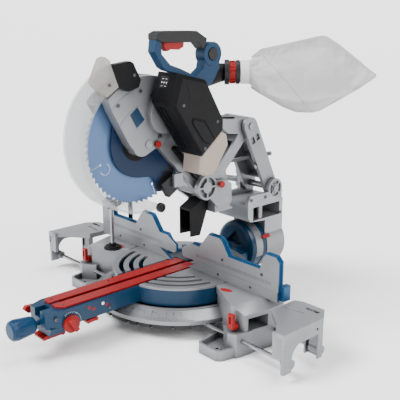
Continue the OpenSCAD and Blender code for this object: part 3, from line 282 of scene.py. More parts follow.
def eased(name, finish, width, cut=False, sharp=34.0, steps=2):
    """A merged copy of a solid with its edges broken, which stands for it. The width is in mm.

    Faces with holes are cut first, because merging alone tears them."""
    solid = frame["nodes"][name]
    bm = bmesh.new()
    for v in solid.data.vertices:
        bm.verts.new(v.co)
    bm.verts.ensure_lookup_table()
    for p in solid.data.polygons:
        bm.faces.new([bm.verts[i] for i in p.vertices])
    bmesh.ops.remove_doubles(bm, verts=bm.verts, dist=3e-6)
    bmesh.ops.dissolve_limit(bm, angle_limit=math.radians(0.8), verts=bm.verts, edges=bm.edges)
    if cut:
        bmesh.ops.triangulate(bm, faces=[f for f in bm.faces if len(f.verts) > 4])
    for f in bm.faces:
        f.smooth = True
    mesh = mesh_of(name + "_eased", bm, finish)
    mesh.set_sharp_from_angle(angle=math.radians(sharp))
    piece = shown(name + "_eased", mesh)
    if width:
        bevelled(piece, width, segments=steps, angle_limit=math.radians(sharp),
                 use_clamp_overlap=False)
    weigh = piece.modifiers.new("shade", "WEIGHTED_NORMAL")
    weigh.mode = "FACE_AREA"
    weigh.weight = 100
    weigh.keep_sharp = True
    settle(piece)
    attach(piece, solid["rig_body"])
    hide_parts(name)
    return piece


# The cast finish carries painted shade: its colour darkens in corners and recesses.
cast = surface("cast_aluminium", (0.205, 0.21, 0.222), 0.38, metal=0.5, patch=0.05, bump=0.22,
               bump_size=700, worn=0.5, corner_shade=0.75)
eased("base_casting", cast, 0.25, cut=True)


def tree_of(name, **kinds):
    """A tree with named inputs of each kind: itself, its inputs and their identifiers."""
    tree = bpy.data.node_groups.new(name, "GeometryNodeTree")
    add = tree.interface.new_socket
    add("Points", in_out="INPUT", socket_type="NodeSocketGeometry")
    ids = {}
    for kind, labels in {**kinds, "Material": "Finish"}.items():
        for label in labels.split():
            ids[label] = add(label, in_out="INPUT", socket_type="NodeSocket" + kind).identifier
    add("Pieces", in_out="OUTPUT", socket_type="NodeSocketGeometry")
    return tree, tree.nodes.new("NodeGroupInput").outputs, ids


def vector_of(tree, x=0.0, y=0.0, z=0.0):
    return node(tree, "ShaderNodeCombineXYZ", in_0=x, in_1=y, in_2=z).outputs[0]


def end_tree(tree, have, points, piece, turn, scale=(1, 1, 1)):
    """Sets a piece at every point, moves them to the tree's place and gives them the finish."""
    on_points = node(tree, "GeometryNodeInstanceOnPoints", in_Points=points, in_Instance=piece,
                     in_Rotation=turn, in_Scale=scale)
    made = node(tree, "GeometryNodeRealizeInstances", in_Geometry=on_points.outputs[0]).outputs[0]
    if "Place" in have:
        whole = {"in_Rotation": have["Turn"]} if "Turn" in have else {}
        made = node(tree, "GeometryNodeTransform", in_Geometry=made, in_Translation=have["Place"],
                    **whole).outputs[0]
    done = node(tree, "GeometryNodeSetMaterial", in_Geometry=made, in_Material=have["Finish"])
    node(tree, "NodeGroupOutput", in_0=done.outputs[0])
    return tree


def grown_piece(name, recipe, values, body, finish, points=()):
    """Runs a tree on some points, in mm, and leaves plain mesh that rides on the body."""
    tree, ids = recipe
    mesh = bpy.data.meshes.new(name)
    mesh.from_pydata([Vector(p) / 1000 for p in points], [], [])
    piece = shown(name, mesh)
    grow = piece.modifiers.new("grow", "NODES")
    grow.node_group = tree
    for label, value in {**values, "Finish": finish}.items():
        grow[ids[label]] = value
    settle(piece)
    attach(piece, body)
    return piece


def socket_screws():
    """Cap screws with a round socket, one at each point."""
    tree, have, ids = tree_of("socket_screws", Float="Radius Height", Rotation="Turn")

    def raised(mesh, which, by):
        return node(tree, "GeometryNodeExtrudeMesh", in_Mesh=mesh, in_Selection=which,
                    in_Offset_Scale=by)

    def narrowed(step, by):
        return node(tree, "GeometryNodeScaleElements", in_0=step.outputs["Mesh"],
                    in_Selection=step.outputs["Top"], in_Scale=by).outputs[0]

    head = node(tree, "GeometryNodeMeshCylinder", in_Vertices=24, in_Radius=have["Radius"],
                in_Depth=have["Height"])
    facing = node(tree, "GeometryNodeInputNormal").outputs[0]
    up = node(tree, "ShaderNodeSeparateXYZ", in_0=facing).outputs["Z"]
    top = node(tree, "FunctionNodeCompare", data_type="FLOAT", operation="GREATER_THAN", in_0=up,
               in_1=0.9)
    rim = raised(head.outputs["Mesh"], top.outputs[0], 0.0002)
    mouth = raised(narrowed(rim, 0.80), rim.outputs["Top"], 0.0)
    depth = maths(tree, "MULTIPLY", have["Height"], -0.5)
    well = raised(narrowed(mouth, 0.6), mouth.outputs["Top"], depth)
    return end_tree(tree, have, have["Points"], well.outputs["Mesh"], have["Turn"]), ids


screw = socket_screws()
screw_steel = surface("screw_steel", (0.0936, 0.0936, 0.1008), 0.3, metal=0.9, bump=0.1,
                      bump_size=1500)
UP, RIGHT, FRONT = (0, 0, 0), (0, math.pi / 2, 0), (math.pi / 2, 0, 0)


def screws(name, radius, height, turn, body, points):
    values = {"Radius": radius, "Height": height, "Turn": turn}
    grown_piece(name, screw, values, body, screw_steel, points)


# No-hands marks: plain red ovals let into the tables beside the turntable.
plain_red = (0.216, 0.00432, 0.00432)
red_plastic = surface("red_plastic", plain_red, 0.36, patch=0.05, bump=0.12, bump_size=1400,
                      shine=0.22)


def extruded(points):
    """A face and its copy, still in the same place, joined by sides, and the copy's corners."""
    bm = bmesh.new()
    cap = bm.faces.new([bm.verts.new(p) for p in points])
    up = bmesh.ops.extrude_face_region(bm, geom=[cap])
    return bm, [v for v in up["geom"] if isinstance(v, bmesh.types.BMVert)]


def oval_mark(name, place, turn, finish, body, long=0.017, wide=0.009):
    """A low oval with sloping sides. Its place is in mm, its half length and width in metres."""
    angles = [i * math.tau / 40 for i in range(40)]
    bm, rim = extruded([(long * math.cos(a), wide * math.sin(a), 0) for a in angles])
    for v in rim:
        v.co = Vector((v.co.x * 0.96, v.co.y * 0.94, 0.0003))
    bmesh.ops.recalc_face_normals(bm, faces=bm.faces)
    lean = Euler(turn).to_matrix().to_4x4()
    bmesh.ops.transform(bm, verts=bm.verts, matrix=Matrix.Translation(Vector(place) / 1000) @ lean)
    piece = shown(name, mesh_of(name, bm, finish))
    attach(piece, body)
    return piece


for side, s in (("right", 1), ("left", -1)):
    oval_mark(f"hand_mark_{side}", (s * 216, -38, 116), (0, 0, s * 0.25), red_plastic, "base")

# ---- Mitre scale and detent ring ---------------------------------------------------
# A pressed plate on the sloping front of the ring carries the angles, printed
# dark. The notched steel ring that holds the usual angles is bolted under its rim.

scale_plate = surface("scale_plate", (0.20, 0.205, 0.215), 0.34, metal=0.6, bump=0.1, bump_size=500)
dress("mitre_scale", scale_plate)
blacked = surface("blacked_steel", (0.01296, 0.01296, 0.0144), 0.4, metal=0.5, bump=0.2)
eased("detent_ring", blacked, 0.5)
print_black = surface("scale_print", (0.0144, 0.0144, 0.01584), 0.5, bump=0.02)
print_high = 0.0002  # metres


def arc_marks():
    """Marks along an arc about Z. Every nth is long, and each lies on the slope of a cone."""
    tree, have, ids = tree_of("arc_marks", Float="Radius Level Start Step Length Width Slope",
                              Int="Count Every", Rotation="Turn", Vector="Place")
    row = node(tree, "GeometryNodeMeshLine", in_Count=have["Count"])
    at = node(tree, "GeometryNodeInputIndex").outputs[0]
    turn = maths(tree, "MULTIPLY_ADD", at, have["Step"], have["Start"])
    left = maths(tree, "MODULO", at, have["Every"])
    long = node(tree, "FunctionNodeCompare", data_type="FLOAT", operation="LESS_THAN", in_0=left,
                in_1=0.5)
    size = node(tree, "GeometryNodeSwitch", input_type="FLOAT", in_0=long.outputs[0], in_1=1.0,
                in_2=1.8).outputs[0]
    half = maths(tree, "MULTIPLY", maths(tree, "MULTIPLY", size, have["Length"]), 0.5)
    out_by = maths(tree, "MULTIPLY", half, maths(tree, "COSINE", have["Slope"]))
    down_by = maths(tree, "MULTIPLY", half, maths(tree, "SINE", have["Slope"]))
    r = maths(tree, "SUBTRACT", have["Radius"], out_by)
    x = maths(tree, "MULTIPLY", r, maths(tree, "COSINE", turn))
    y = maths(tree, "MULTIPLY", r, maths(tree, "SINE", turn))
    spot = vector_of(tree, x, y, maths(tree, "ADD", have["Level"], down_by))
    laid = node(tree, "GeometryNodeSetPosition", in_Geometry=row.outputs[0], in_Position=spot)
    bar_size = vector_of(tree, have["Length"], have["Width"], print_high)
    bar = node(tree, "GeometryNodeMeshCube", in_Size=bar_size)
    facing = vector_of(tree, 0.0, have["Slope"], turn)
    longer = vector_of(tree, size, 1.0, 1.0)
    return end_tree(tree, have, laid.outputs[0], bar.outputs[0], facing, longer), ids


marks = arc_marks()
slope = math.atan2(15.5, 30)
grown_piece("mitre_marks", marks, {
    "Radius": 0.2205, "Level": 0.0537, "Start": math.radians(270 - 54), "Step": math.radians(1),
    "Count": 109, "Every": 5, "Length": 0.005, "Width": 0.0006, "Slope": slope,
}, "base", print_black)


def figures(name, items, finish, body, size=6.0):
    """Flat printed numbers: (text, centre in mm, matrix that turns them) for each."""
    bm = bmesh.new()
    for i, (words, centre, turn) in enumerate(items):
        text = bpy.data.curves.new(f"{name}_{i}", "FONT")
        text.body = words
        text.size = size / 1000
        text.align_x, text.align_y = "CENTER", "CENTER"
        text.extrude = 0.0001
        text.resolution_u = 2
        mesh = flattened(f"{name}_{i}", text)
        mesh.transform(Matrix.Translation(Vector(centre) / 1000) @ turn.to_4x4())
        bm.from_mesh(mesh)
    piece = shown(name, mesh_of(name, bm, finish))
    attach(piece, body)
    return piece


ring_numbers = []
number_r, number_z = 203.5, 62.45
for angle in (-45, -31.6, -22.5, -15, 0, 15, 22.5, 31.6, 45):
    a = math.radians(270 + angle)
    lean = Matrix.Rotation(a + math.pi / 2, 3, "Z") @ Matrix.Rotation(slope, 3, "X")
    centre = (number_r * math.cos(a), number_r * math.sin(a), number_z)
    ring_numbers.append((f"{abs(angle):g}", centre, lean))
figures("mitre_numbers", ring_numbers, print_black, "base", 7.5)

# ---- Fences ---------------------------------------------------------------------
# The fixed fence is a machined casting. The tall fences slide on it, brushed
# lengthways in front, with blue enamel behind and on the edges.


def fence_finish():
    m = surface("machined_fence", (0.19, 0.195, 0.207), 0.34, metal=0.5, bump=0.25, bump_size=500,
                stretch=(0.04, 1, 1))
    tree, place = m.node_tree, place_in(m.node_tree)
    behind = node(tree, "ShaderNodeSeparateXYZ", in_0=place).outputs["Y"]
    return painted(m, maths(tree, "GREATER_THAN", behind, -0.0022), (0.006, 0.062, 0.155))


fence_metal = fence_finish()
eased("fixed_fence", fence_metal, 0, cut=True)
eased("right_fence", fence_metal, 0.48)
eased("left_fence", fence_metal, 0.48)


def straight_marks():
    """A row of like bars: count, start and step, and each bar's size."""
    tree, have, ids = tree_of("straight_marks", Int="Count", Vector="Start Step Size",
                              Rotation="Turn")
    row = node(tree, "GeometryNodeMeshLine", in_Count=have["Count"],
               in_Start_Location=have["Start"], in_Offset=have["Step"])
    bar = node(tree, "GeometryNodeMeshCube", in_Size=have["Size"])
    return end_tree(tree, have, row.outputs[0], bar.outputs[0], have["Turn"]), ids


bars = straight_marks()
faint_print = surface("faint_print", (0.0324, 0.0324, 0.036), 0.5, bump=0.02)
for side, s in (("right", 1), ("left", -1)):
    grown_piece(f"fence_marks_{side}", bars, {
        "Count": 62, "Start": (s * 0.070, -0.00355, 0.157), "Step": (s * 0.0042, 0, 0),
        "Size": (0.0009, 0.0002, 0.009),
    }, f"{side}_fence", faint_print)
    screws(f"fence_screws_{side}", 0.0038, 0.004, FRONT, f"{side}_fence",
           [(s * x, -2.6, 171) for x in (165, 298)])
screws("fence_base_screws", 0.0038, 0.004, FRONT, "base",
       [(s * x, -1.6, 128) for s in (-1, 1) for x in (150, 262)])

# ---- Side supports ----------------------------------------------------------------
# A ribbed casting at each end of the table slides out on a pair of steel rods, and
# a red cam lever on the table's front locks it.

eased("right_support", cast, 0.32)
eased("left_support", cast, 0.32)
rod_steel = surface("ground_rod", (0.3024, 0.3024, 0.3168), 0.2, metal=1.0, bump=0.06,
                    stretch=(0.05, 1, 1))
dress("right_rods left_rods", rod_steel)
eased("right_support_lever", red_plastic, 0.35, cut=True)
eased("left_support_lever", red_plastic, 0.35, cut=True)

# ---- Work clamp -------------------------------------------------------------------
# A post behind the left table carries an arm, and a steel spindle with a swivel
# foot presses the work down.

black_plastic = surface("black_plastic", (0.00324, 0.00324, 0.00396), 0.42, patch=0.15, bump=0.3,
                        bump_size=1600, worn=0.15, shine=0.12)
eased("clamp_post", black_plastic, 0, cut=True)
eased("clamp_arm", black_plastic, 0.8)
eased("clamp_foot", black_plastic, 0.8)
dress("clamp_spindle", rod_steel)

# ---- Turntable ----------------------------------------------------------------------
# The turntable and its long front arm are one casting in blue enamel. The top is
# turned bright, with concentric slots through to the blue below.

enamel = surface("blue_enamel", (0.00108, 0.02016, 0.0504), 0.30, patch=0.10, bump=0.10,
                 bump_size=600, coat=0.08, worn=0.3, shine=0.25)
eased("turntable", enamel, 0, cut=True, sharp=20)


def turned_finish():
    m = surface("turned_top", (0.19, 0.195, 0.207), 0.32, metal=0.5, bump=0.0)
    tree, place = m.node_tree, place_in(m.node_tree)
    rings = node(tree, "ShaderNodeTexWave", wave_type="RINGS", rings_direction="Z", in_Vector=place,
                 in_Scale=500.0, in_Distortion=0.4)
    return bumped(m, rings.outputs["Fac"], 0.12, 0.0002)


eased("table_top", turned_finish(), 0.3)
red_paint = surface("kerf_red", (0.1944, 0.0036, 0.0036), 0.34, patch=0.06, bump=0.12,
                    bump_size=900, shine=0.22, worn=0.1)
eased("kerf_plates", red_paint, 0.5)
screws("kerf_screws", 0.0031, 0.0022, UP, "turntable",
       [(s * 26, y, 115) for s in (-1, 1) for y in (-376, -214, -30)])

# ---- Controls on the front arm -----------------------------------------------------
# A ribbed blue knob locks the mitre. Red levers and a red dial beside it free the
# detent and set the bevel. White marks round the dial show its stops.

blue_plastic = surface("blue_plastic", (0.00108, 0.02448, 0.0648), 0.36, patch=0.06, bump=0.12,
                       bump_size=1500, shine=0.22)
eased("mitre_knob", blue_plastic, 0.28)
eased("detent_lever", red_plastic, 0.32)
eased("override_lever", red_plastic, 0.32)
eased("bevel_dial", red_plastic, 0.54, cut=True)
eased("bevel_lever", red_plastic, 0.32)
white_print = surface("white_print", (0.72, 0.72, 0.70), 0.5, bump=0.02)
grown_piece("dial_marks", marks, {
    "Radius": 0.0285, "Level": 0.0, "Start": math.radians(-20), "Step": math.radians(10),
    "Count": 15, "Every": 7, "Length": 0.0022, "Width": 0.0007, "Slope": 0.0,
    "Turn": (math.pi / 2, 0, math.pi / 2), "Place": (0.04608, -0.370, 0.075),
}, "turntable", white_print)
for i, y in enumerate((-318, -306, -280, -268)):
    oval_mark(f"stop_mark_{i}", (46.0, y, 92 if i % 2 else 98), (math.pi / 2, 0, math.pi / 2),
              red_plastic if i != 2 else white_print, "turntable", 0.0042, 0.0042)
screws("arm_screws", 0.004, 0.004, RIGHT, "turntable",
       [(46.6, y, z) for y, z in ((-408, 96), (-262, 84))])

# ---- Bevel drum ------------------------------------------------------------------
# The drum behind the turntable carries the bevel scale on a bright band, and its
# stops. It is blue enamel on the same casting as the turntable.

eased("bevel_drum", enamel, 1, cut=True)
dress("bevel_scale", scale_plate)
grown_piece("bevel_marks", marks, {
    "Radius": 0.0729, "Level": 0.0, "Start": math.radians(220), "Step": math.radians(1),
    "Count": 101, "Every": 5, "Length": 0.004, "Width": 0.0005, "Slope": math.pi / 2,
    "Turn": (-math.pi / 2, 0, 0), "Place": (0, 0.2245, 0.116),
}, "turntable", print_black)
drum_numbers = []
band_r = 72.9
for angle in (-45, -30, -15, 0, 15, 30, 45):
    t = math.radians(angle)
    along, back, outward = (math.cos(t), 0, -math.sin(t)), (0, 1, 0), (math.sin(t), 0, math.cos(t))
    centre = (band_r * math.sin(t), 238, 116 + band_r * math.cos(t))
    drum_numbers.append((str(abs(angle)), centre, Matrix((along, back, outward)).transposed()))
figures("bevel_numbers", drum_numbers, print_black, "turntable", 6.5)

# ---- Tower ---------------------------------------------------------------------------
# The tower tilts on the drum. It is a ribbed casting with two ears that hold the
# rear pin of the glide arm, and cap screws where its halves are joined.

eased("tower", cast, 0.25, cut=True)
pin_steel = surface("pin_steel", (0.216, 0.216, 0.2304), 0.26, metal=1.0, bump=0.1)
dress("tower_pins", pin_steel)
dress("bevel_pointer", red_plastic)
screws("tower_screws", 0.0045, 0.005, RIGHT, "tower",
       [(61.4, y, z) for y, z in ((206, 262), (262, 262), (326, 206), (326, 150), (272, 150))])

# ---- Glide arm ------------------------------------------------------------------
# Two pairs of hinged links let the head glide. The upright pair carries it, and the
# flat pair on the left keeps it from twisting. All four are ribbed castings.

eased("rear_link", cast, 0.32, cut=True)
eased("forearm", cast, 0.9)
eased("guide_rear_link", cast, 0.54)
eased("guide_front_link", cast, 0.9)
dress("elbow_pin guide_pin", pin_steel)
eased("elbow_pad", black_plastic, 1)

# ---- Carriage ------------------------------------------------------------------------
# The carriage hangs on the glide arm. It holds the chop pin, the red transport pin
# and the moulded dust chute behind the blade.

eased("carriage", cast, 0.25)
dress("carriage_pins", pin_steel)
eased("lock_pin", red_plastic, 0.6)
eased("dust_chute", black_plastic, 0.8, cut=True)

# ---- Saw head -------------------------------------------------------------------
# The gear case and upper guard are one casting. A dark blue plate sits beside the
# blade, and a black deflector and a clear shield close the guard's nose.

eased("head_casting", cast, 0.39)
hub = Vector((0, -130, 460))


def raised_plate(name, outline, x0, x1, finish, body, ease=0.5):
    """A flat piece on the head's right side, in mm.

    The outline is from the blade's centre. It starts and ends at x0 and x1."""
    bm, far_side = extruded([Vector((x0, hub.y + y, hub.z + z)) / 1000 for y, z in outline])
    bmesh.ops.translate(bm, verts=far_side, vec=((x1 - x0) / 1000, 0, 0))
    bmesh.ops.recalc_face_normals(bm, faces=bm.faces)
    for f in bm.faces:
        f.smooth = True
    mesh = mesh_of(name, bm, finish)
    mesh.set_sharp_from_angle(angle=math.radians(35))
    piece = shown(name, mesh)
    bevelled(piece, ease, harden_normals=True)
    settle(piece)
    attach(piece, body)
    return piece


def arc_outline(r0, r1, a0, a1, steps=24, middle=(0, 0)):
    """Outline of an arc band, angles in degrees from the front-to-back axis."""
    angles = [math.radians(a0 + (a1 - a0) * i / steps) for i in range(steps + 1)]
    return ([(middle[0] + r1 * math.cos(a), middle[1] + r1 * math.sin(a)) for a in angles]
            + [(middle[0] + r0 * math.cos(a), middle[1] + r0 * math.sin(a))
               for a in reversed(angles)])


case_side = 41.9  # where the plates on the gear case start, in mm
raised_plate("guard_rim_outer", arc_outline(156, 161, 91, 134), case_side, 43.4, cast, "head", 0.6)
raised_plate("guard_rim_inner", arc_outline(136, 138, 92, 137), case_side, 43.0, cast, "head", 0.5)
raised_plate("case_seam", arc_outline(96, 97.6, 66, 146), case_side, 42.8, cast, "head", 0.4)
raised_plate("arbor_cap", arc_outline(0.1, 10, 0, 360, 32), case_side, 44.2, cast, "head", 0.7)
raised_plate("case_label", [(-34, 43), (-11, 60), (-31, 91), (-52, 75)], 41.1, 41.6, enamel, "head",
             0.2)
raised_plate("arbor_shield", arc_outline(12, 41, 150, 330, 28, (-12, -2)), 9.8, 11.3, black_plastic,
             "head", 0.4)
screws("case_screws", 0.0042, 0.004, RIGHT, "head",
       [(42.8, hub.y + y, hub.z + z)
        for y, z in ((-22, 128), (34, 16), (10, 116), (48, 24), (-86, 100))])
eased("guard_block", black_plastic, 0.72)
eased("arm_rails", black_plastic, 0.42)
screws("nose_screws", 0.0038, 0.004, RIGHT, "head",
       [(60.8, hub.y - 52, hub.z + 168), (60.6, hub.y - 120, hub.z + 150)])
flat_black = (0.010, 0.010, 0.012)


def cover_finish():
    """Dark blue plate whose tail, below and behind the blade's centre, is black."""
    m = surface("navy_plate", (0.00072, 0.01152, 0.0396), 0.34, patch=0.06, bump=0.08, shine=0.22)
    tree, place = m.node_tree, place_in(m.node_tree)
    tail = node(tree, "ShaderNodeVectorMath", operation="DOT_PRODUCT", in_0=place,
                in_1=(0, 0.74, -0.67))
    border = 0.74 * (hub.y + 62) / 1000 - 0.67 * (hub.z - 96) / 1000
    return painted(m, maths(tree, "GREATER_THAN", tail.outputs["Value"], border), flat_black)


eased("blade_cover", cover_finish(), 0.5)

# ---- Motor housing ---------------------------------------------------------------
# The moulded housing beside the gear case has a glossy display on its front, air
# slots behind, and a raised panel with screws on its right side.

eased("motor_housing", black_plastic, 0.77, cut=True, steps=3)
raised_plate("motor_panel", [(56, 66), (88, 56), (119, 10), (111, 1), (88, 10), (53, 56)], 138.2,
             141.2, black_plastic, "head", 1.4)
raised_plate("motor_collar", [(36, 150), (62, 150), (96, 128), (104, 112), (88, 100), (44, 112)],
             138.8, 140.6, black_plastic, "head", 0.9)
glossy_black = surface("display_glass", (0.00864, 0.00864, 0.01008), 0.12, bump=0.0,
                       rough_swing=0.02, coat=0.5)
face_lean = math.atan2(12, 40)


def front_panel(name, x, z, width, height, depth, finish):
    """A plate on the housing's slanting front face, above its middle, in mm."""
    bm = bmesh.new()
    bmesh.ops.create_cube(bm, size=1.0)
    bmesh.ops.scale(bm, verts=bm.verts, vec=(width, depth, height))
    bmesh.ops.bevel(bm, geom=bm.edges[:], offset=min(depth, height) * 0.3, segments=2,
                    affect="EDGES")
    bmesh.ops.rotate(bm, verts=bm.verts, matrix=Matrix.Rotation(-face_lean, 3, "X"))
    middle = Vector((x, hub.y + 12 + (z - 152) * 0.3, hub.z + z))
    bmesh.ops.scale(bm, verts=bm.verts, vec=(0.001, 0.001, 0.001))
    bmesh.ops.translate(bm, verts=bm.verts, vec=middle / 1000)
    piece = shown(name, mesh_of(name, bm, finish))
    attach(piece, "head")
    return piece


front_panel("display", 90, 148, 30, 32, 1.6, glossy_black)
lit_marks = ((84, 157, 7, 2), (96, 157, 7, 2), (82, 149, 4, 4), (90, 149, 4, 4), (98, 149, 4, 4),
             (84, 141, 6, 1.6), (96, 141, 6, 1.6))
for i, (x, z, w, h) in enumerate(lit_marks):
    front_panel(f"display_mark_{i}", x, z, w, h, 2.4, white_print)
grown_piece("motor_ribs", bars, {
    "Count": 3, "Start": (0.070, (hub.y + 36) / 1000, (hub.z + 42) / 1000), "Step": (0.012, 0, 0),
    "Size": (0.0035, 0.003, 0.118), "Turn": (math.radians(33.5), 0, 0),
}, "head", black_plastic)
grown_piece("motor_air_slots", bars, {
    "Count": 9, "Start": (0.100, (hub.y + 152) / 1000, (hub.z + 63) / 1000),
    "Step": (0, -0.0044, 0.0076), "Size": (0.052, 0.0024, 0.0032),
    "Turn": (math.radians(30), 0, 0),
}, "head", black_plastic)
screws("motor_screws", 0.0036, 0.003, RIGHT, "head",
       [(139.2, hub.y + y, hub.z + z) for y, z in ((26, 100), (132, 52), (92, -8))])

# ---- Battery ---------------------------------------------------------------------
# A pale pack slides on under the housing, with a moulded grip rib on each side.

pale_shell = surface("battery_shell", (0.3024, 0.2484, 0.216), 0.5, patch=0.03, bump=0.1, shine=0.3)
eased("battery", pale_shell, 2, steps=3)

# ---- Handle -------------------------------------------------------------------------
# A closed handle: a blue moulded frame, a black rubber grip with fine ribs, a red
# trigger and a red lock button.

eased("handle_frame", blue_plastic, 0.84, steps=3)
rubber = surface("rubber_grip", (0.00648, 0.00648, 0.0072), 0.58, patch=0.1, bump=0.6,
                 bump_size=1100, shine=0.35)
eased("handle_grip", rubber, 0.9, steps=3)
eased("trigger", red_plastic, 1.4)
dress("lock_lever spindle_lock", red_plastic)
dress("guard_roller", rubber)
grown_piece("handle_ribs", bars, {
    "Count": 9, "Start": (0.098, (hub.y + 8) / 1000, (hub.z + 263.3) / 1000),
    "Step": (0, 0.009, -0.00018), "Size": (0.022, 0.0022, 0.0014),
}, "head", rubber)

# ---- Blade ----------------------------------------------------------------------
# A coated steel plate on ground flanges. Carbide tips are brazed to its teeth.

blade_coat = surface("blade_coat", (0.0612, 0.1188, 0.2448), 0.30, metal=0.35, patch=0.05,
                     patch_size=6, bump=0.06, bump_size=300)
dress("blade", blade_coat)
dress("blade_flanges", pin_steel)


def tooth_tips():
    """One small block at each tooth, round the X axis at the blade's centre."""
    tree, have, ids = tree_of("tooth_tips", Int="Teeth", Float="Radius Start", Vector="Size Place")
    row = node(tree, "GeometryNodeMeshLine", in_Count=have["Teeth"])
    at = node(tree, "GeometryNodeInputIndex").outputs[0]
    turn = maths(tree, "MULTIPLY_ADD", at, maths(tree, "DIVIDE", math.tau, have["Teeth"]),
                 have["Start"])
    y = maths(tree, "MULTIPLY", have["Radius"], maths(tree, "COSINE", turn))
    z = maths(tree, "MULTIPLY", have["Radius"], maths(tree, "SINE", turn))
    laid = node(tree, "GeometryNodeSetPosition", in_Geometry=row.outputs[0],
                in_Position=vector_of(tree, 0.0, y, z))
    tip = node(tree, "GeometryNodeMeshCube", in_Size=have["Size"])
    return end_tree(tree, have, laid.outputs[0], tip.outputs[0], vector_of(tree, turn)), ids


carbide = surface("carbide", (0.62, 0.63, 0.66), 0.28, metal=0.8, bump=0.05)
grown_piece("tooth_tips", tooth_tips(), {
    "Teeth": 60, "Radius": 0.1506, "Size": (0.0027, 0.0036, 0.0020),
    "Start": math.radians(6 * 0.6), "Place": hub / 1000,
}, "blade", carbide)
for i in range(4):
    a = math.radians(20 + 90 * i + 8)
    middle = (112 * math.cos(a), 112 * math.sin(a))
    slot = arc_outline(13, 13.8, 20 + 90 * i, 250 + 90 * i, 20, middle)
    raised_plate(f"laser_slot_{i}", slot, 0.85, 1.0, carbide, "blade", 0.05)

# ---- Swinging guard -----------------------------------------------------------------
# A clear moulded shell closes over the blade. A rubber roller on its lip rides up
# over the work, and a clear shield is screwed to the guard's nose.


def clear_moulding(name, hue, see_through, rough=0.2):
    m = surface(name, hue, rough, patch=0.02, bump=0.03, bump_size=60, shine=0.5)
    skin = m.node_tree.nodes["Principled BSDF"]
    skin.inputs["Alpha"].default_value = 1.0 - see_through
    m.surface_render_method = "BLENDED"
    return m


eased("swing_guard", clear_moulding("clear_guard", (0.36, 0.38, 0.39), 0.66), 0.24, cut=True)
eased("guard_baffle", clear_moulding("nose_shield", (0.26, 0.245, 0.22), 0.35), 0.8)

# ---- Dust spout and collar -----------------------------------------------------------
# A black duct leaves the back of the guard. The bag's collar is a black bayonet
# ring with a red band and moulded grips.

eased("dust_spout", black_plastic, 0, cut=True, sharp=28)
spout_at = Vector((50, hub.y + 240, hub.z + 155))
spout_yaw = math.radians(47.8)
spout_turn = Matrix.Rotation(spout_yaw, 3, "Z") @ Matrix.Rotation(math.pi / 2, 3, "Y")


def collar_finish():
    """Black with a red band round the middle of the collar."""
    m = surface("collar_plastic", plain_red, 0.36, patch=0.05, bump=0.12, bump_size=1400,
                shine=0.22)
    tree, place = m.node_tree, place_in(m.node_tree)
    along = spout_turn @ Vector((0, 0, 1))
    run = node(tree, "ShaderNodeVectorMath", operation="DOT_PRODUCT", in_0=place, in_1=along)
    away = maths(tree, "SUBTRACT", run.outputs["Value"], along.dot(spout_at) / 1000 + 0.020)
    outside = maths(tree, "GREATER_THAN", maths(tree, "ABSOLUTE", away), 0.0079)
    return painted(m, outside, flat_black)


eased("bag_collar", collar_finish(), 0.8)


def ring_of_ribs():
    """Ribs round an axis: how many, how far out, how big."""
    tree, have, ids = tree_of("ring_of_ribs", Int="Count", Float="Radius", Vector="Size Place",
                              Rotation="Turn")
    ring = node(tree, "GeometryNodeMeshCircle", in_Vertices=have["Count"], in_Radius=have["Radius"])
    at = node(tree, "GeometryNodeInputIndex").outputs[0]
    turn = maths(tree, "MULTIPLY", at, maths(tree, "DIVIDE", math.tau, have["Count"]))
    rib = node(tree, "GeometryNodeMeshCube", in_Size=have["Size"])
    return end_tree(tree, have, ring.outputs[0], rib.outputs[0],
                    vector_of(tree, 0.0, 0.0, turn)), ids


grown_piece("collar_ribs", ring_of_ribs(), {
    "Count": 20, "Radius": 0.0273, "Size": (0.003, 0.002, 0.013),
    "Turn": tuple(spout_turn.to_euler()),
    "Place": (spout_at + spout_turn @ Vector((0, 0, 20))) / 1000,
}, "head", red_plastic)

# ---- Dust bag ------------------------------------------------------------------------
# A white cloth bag is gathered into a cuff that clips on the collar. Its two panels
# are welded together all round and across the lower corner, and the empty cloth sags.

edge_top = [(38, 27), (58, 27.5), (66, 31), (93, 52), (150, 64), (205, 76), (240, 84), (252, 83),
            (286, 62), (322, 34), (352, 12), (384, -5)]
edge_low = [(38, -27), (58, -27.5), (66, -31), (93, -49), (130, -70), (154, -84), (186, -96),
            (226, -97), (244, -92), (286, -68), (330, -42), (384, -13)]


def along_line(points, t):
    """The height of an outline at a distance along the bag."""
    for (t0, h0), (t1, h1) in zip(points, points[1:]):
        if t <= t1:
            return h0 + (h1 - h0) * (t - t0) / (t1 - t0)
    return points[-1][1]


def closed_mesh(name, verts, faces):
    """A closed mesh with its faces turned outward."""
    mesh = bpy.data.meshes.new(name)
    mesh.from_pydata(verts, [], faces)
    bm = bmesh.new()
    bm.from_mesh(mesh)
    bmesh.ops.recalc_face_normals(bm, faces=bm.faces)
    bm.to_mesh(mesh)
    bm.free()
    return mesh


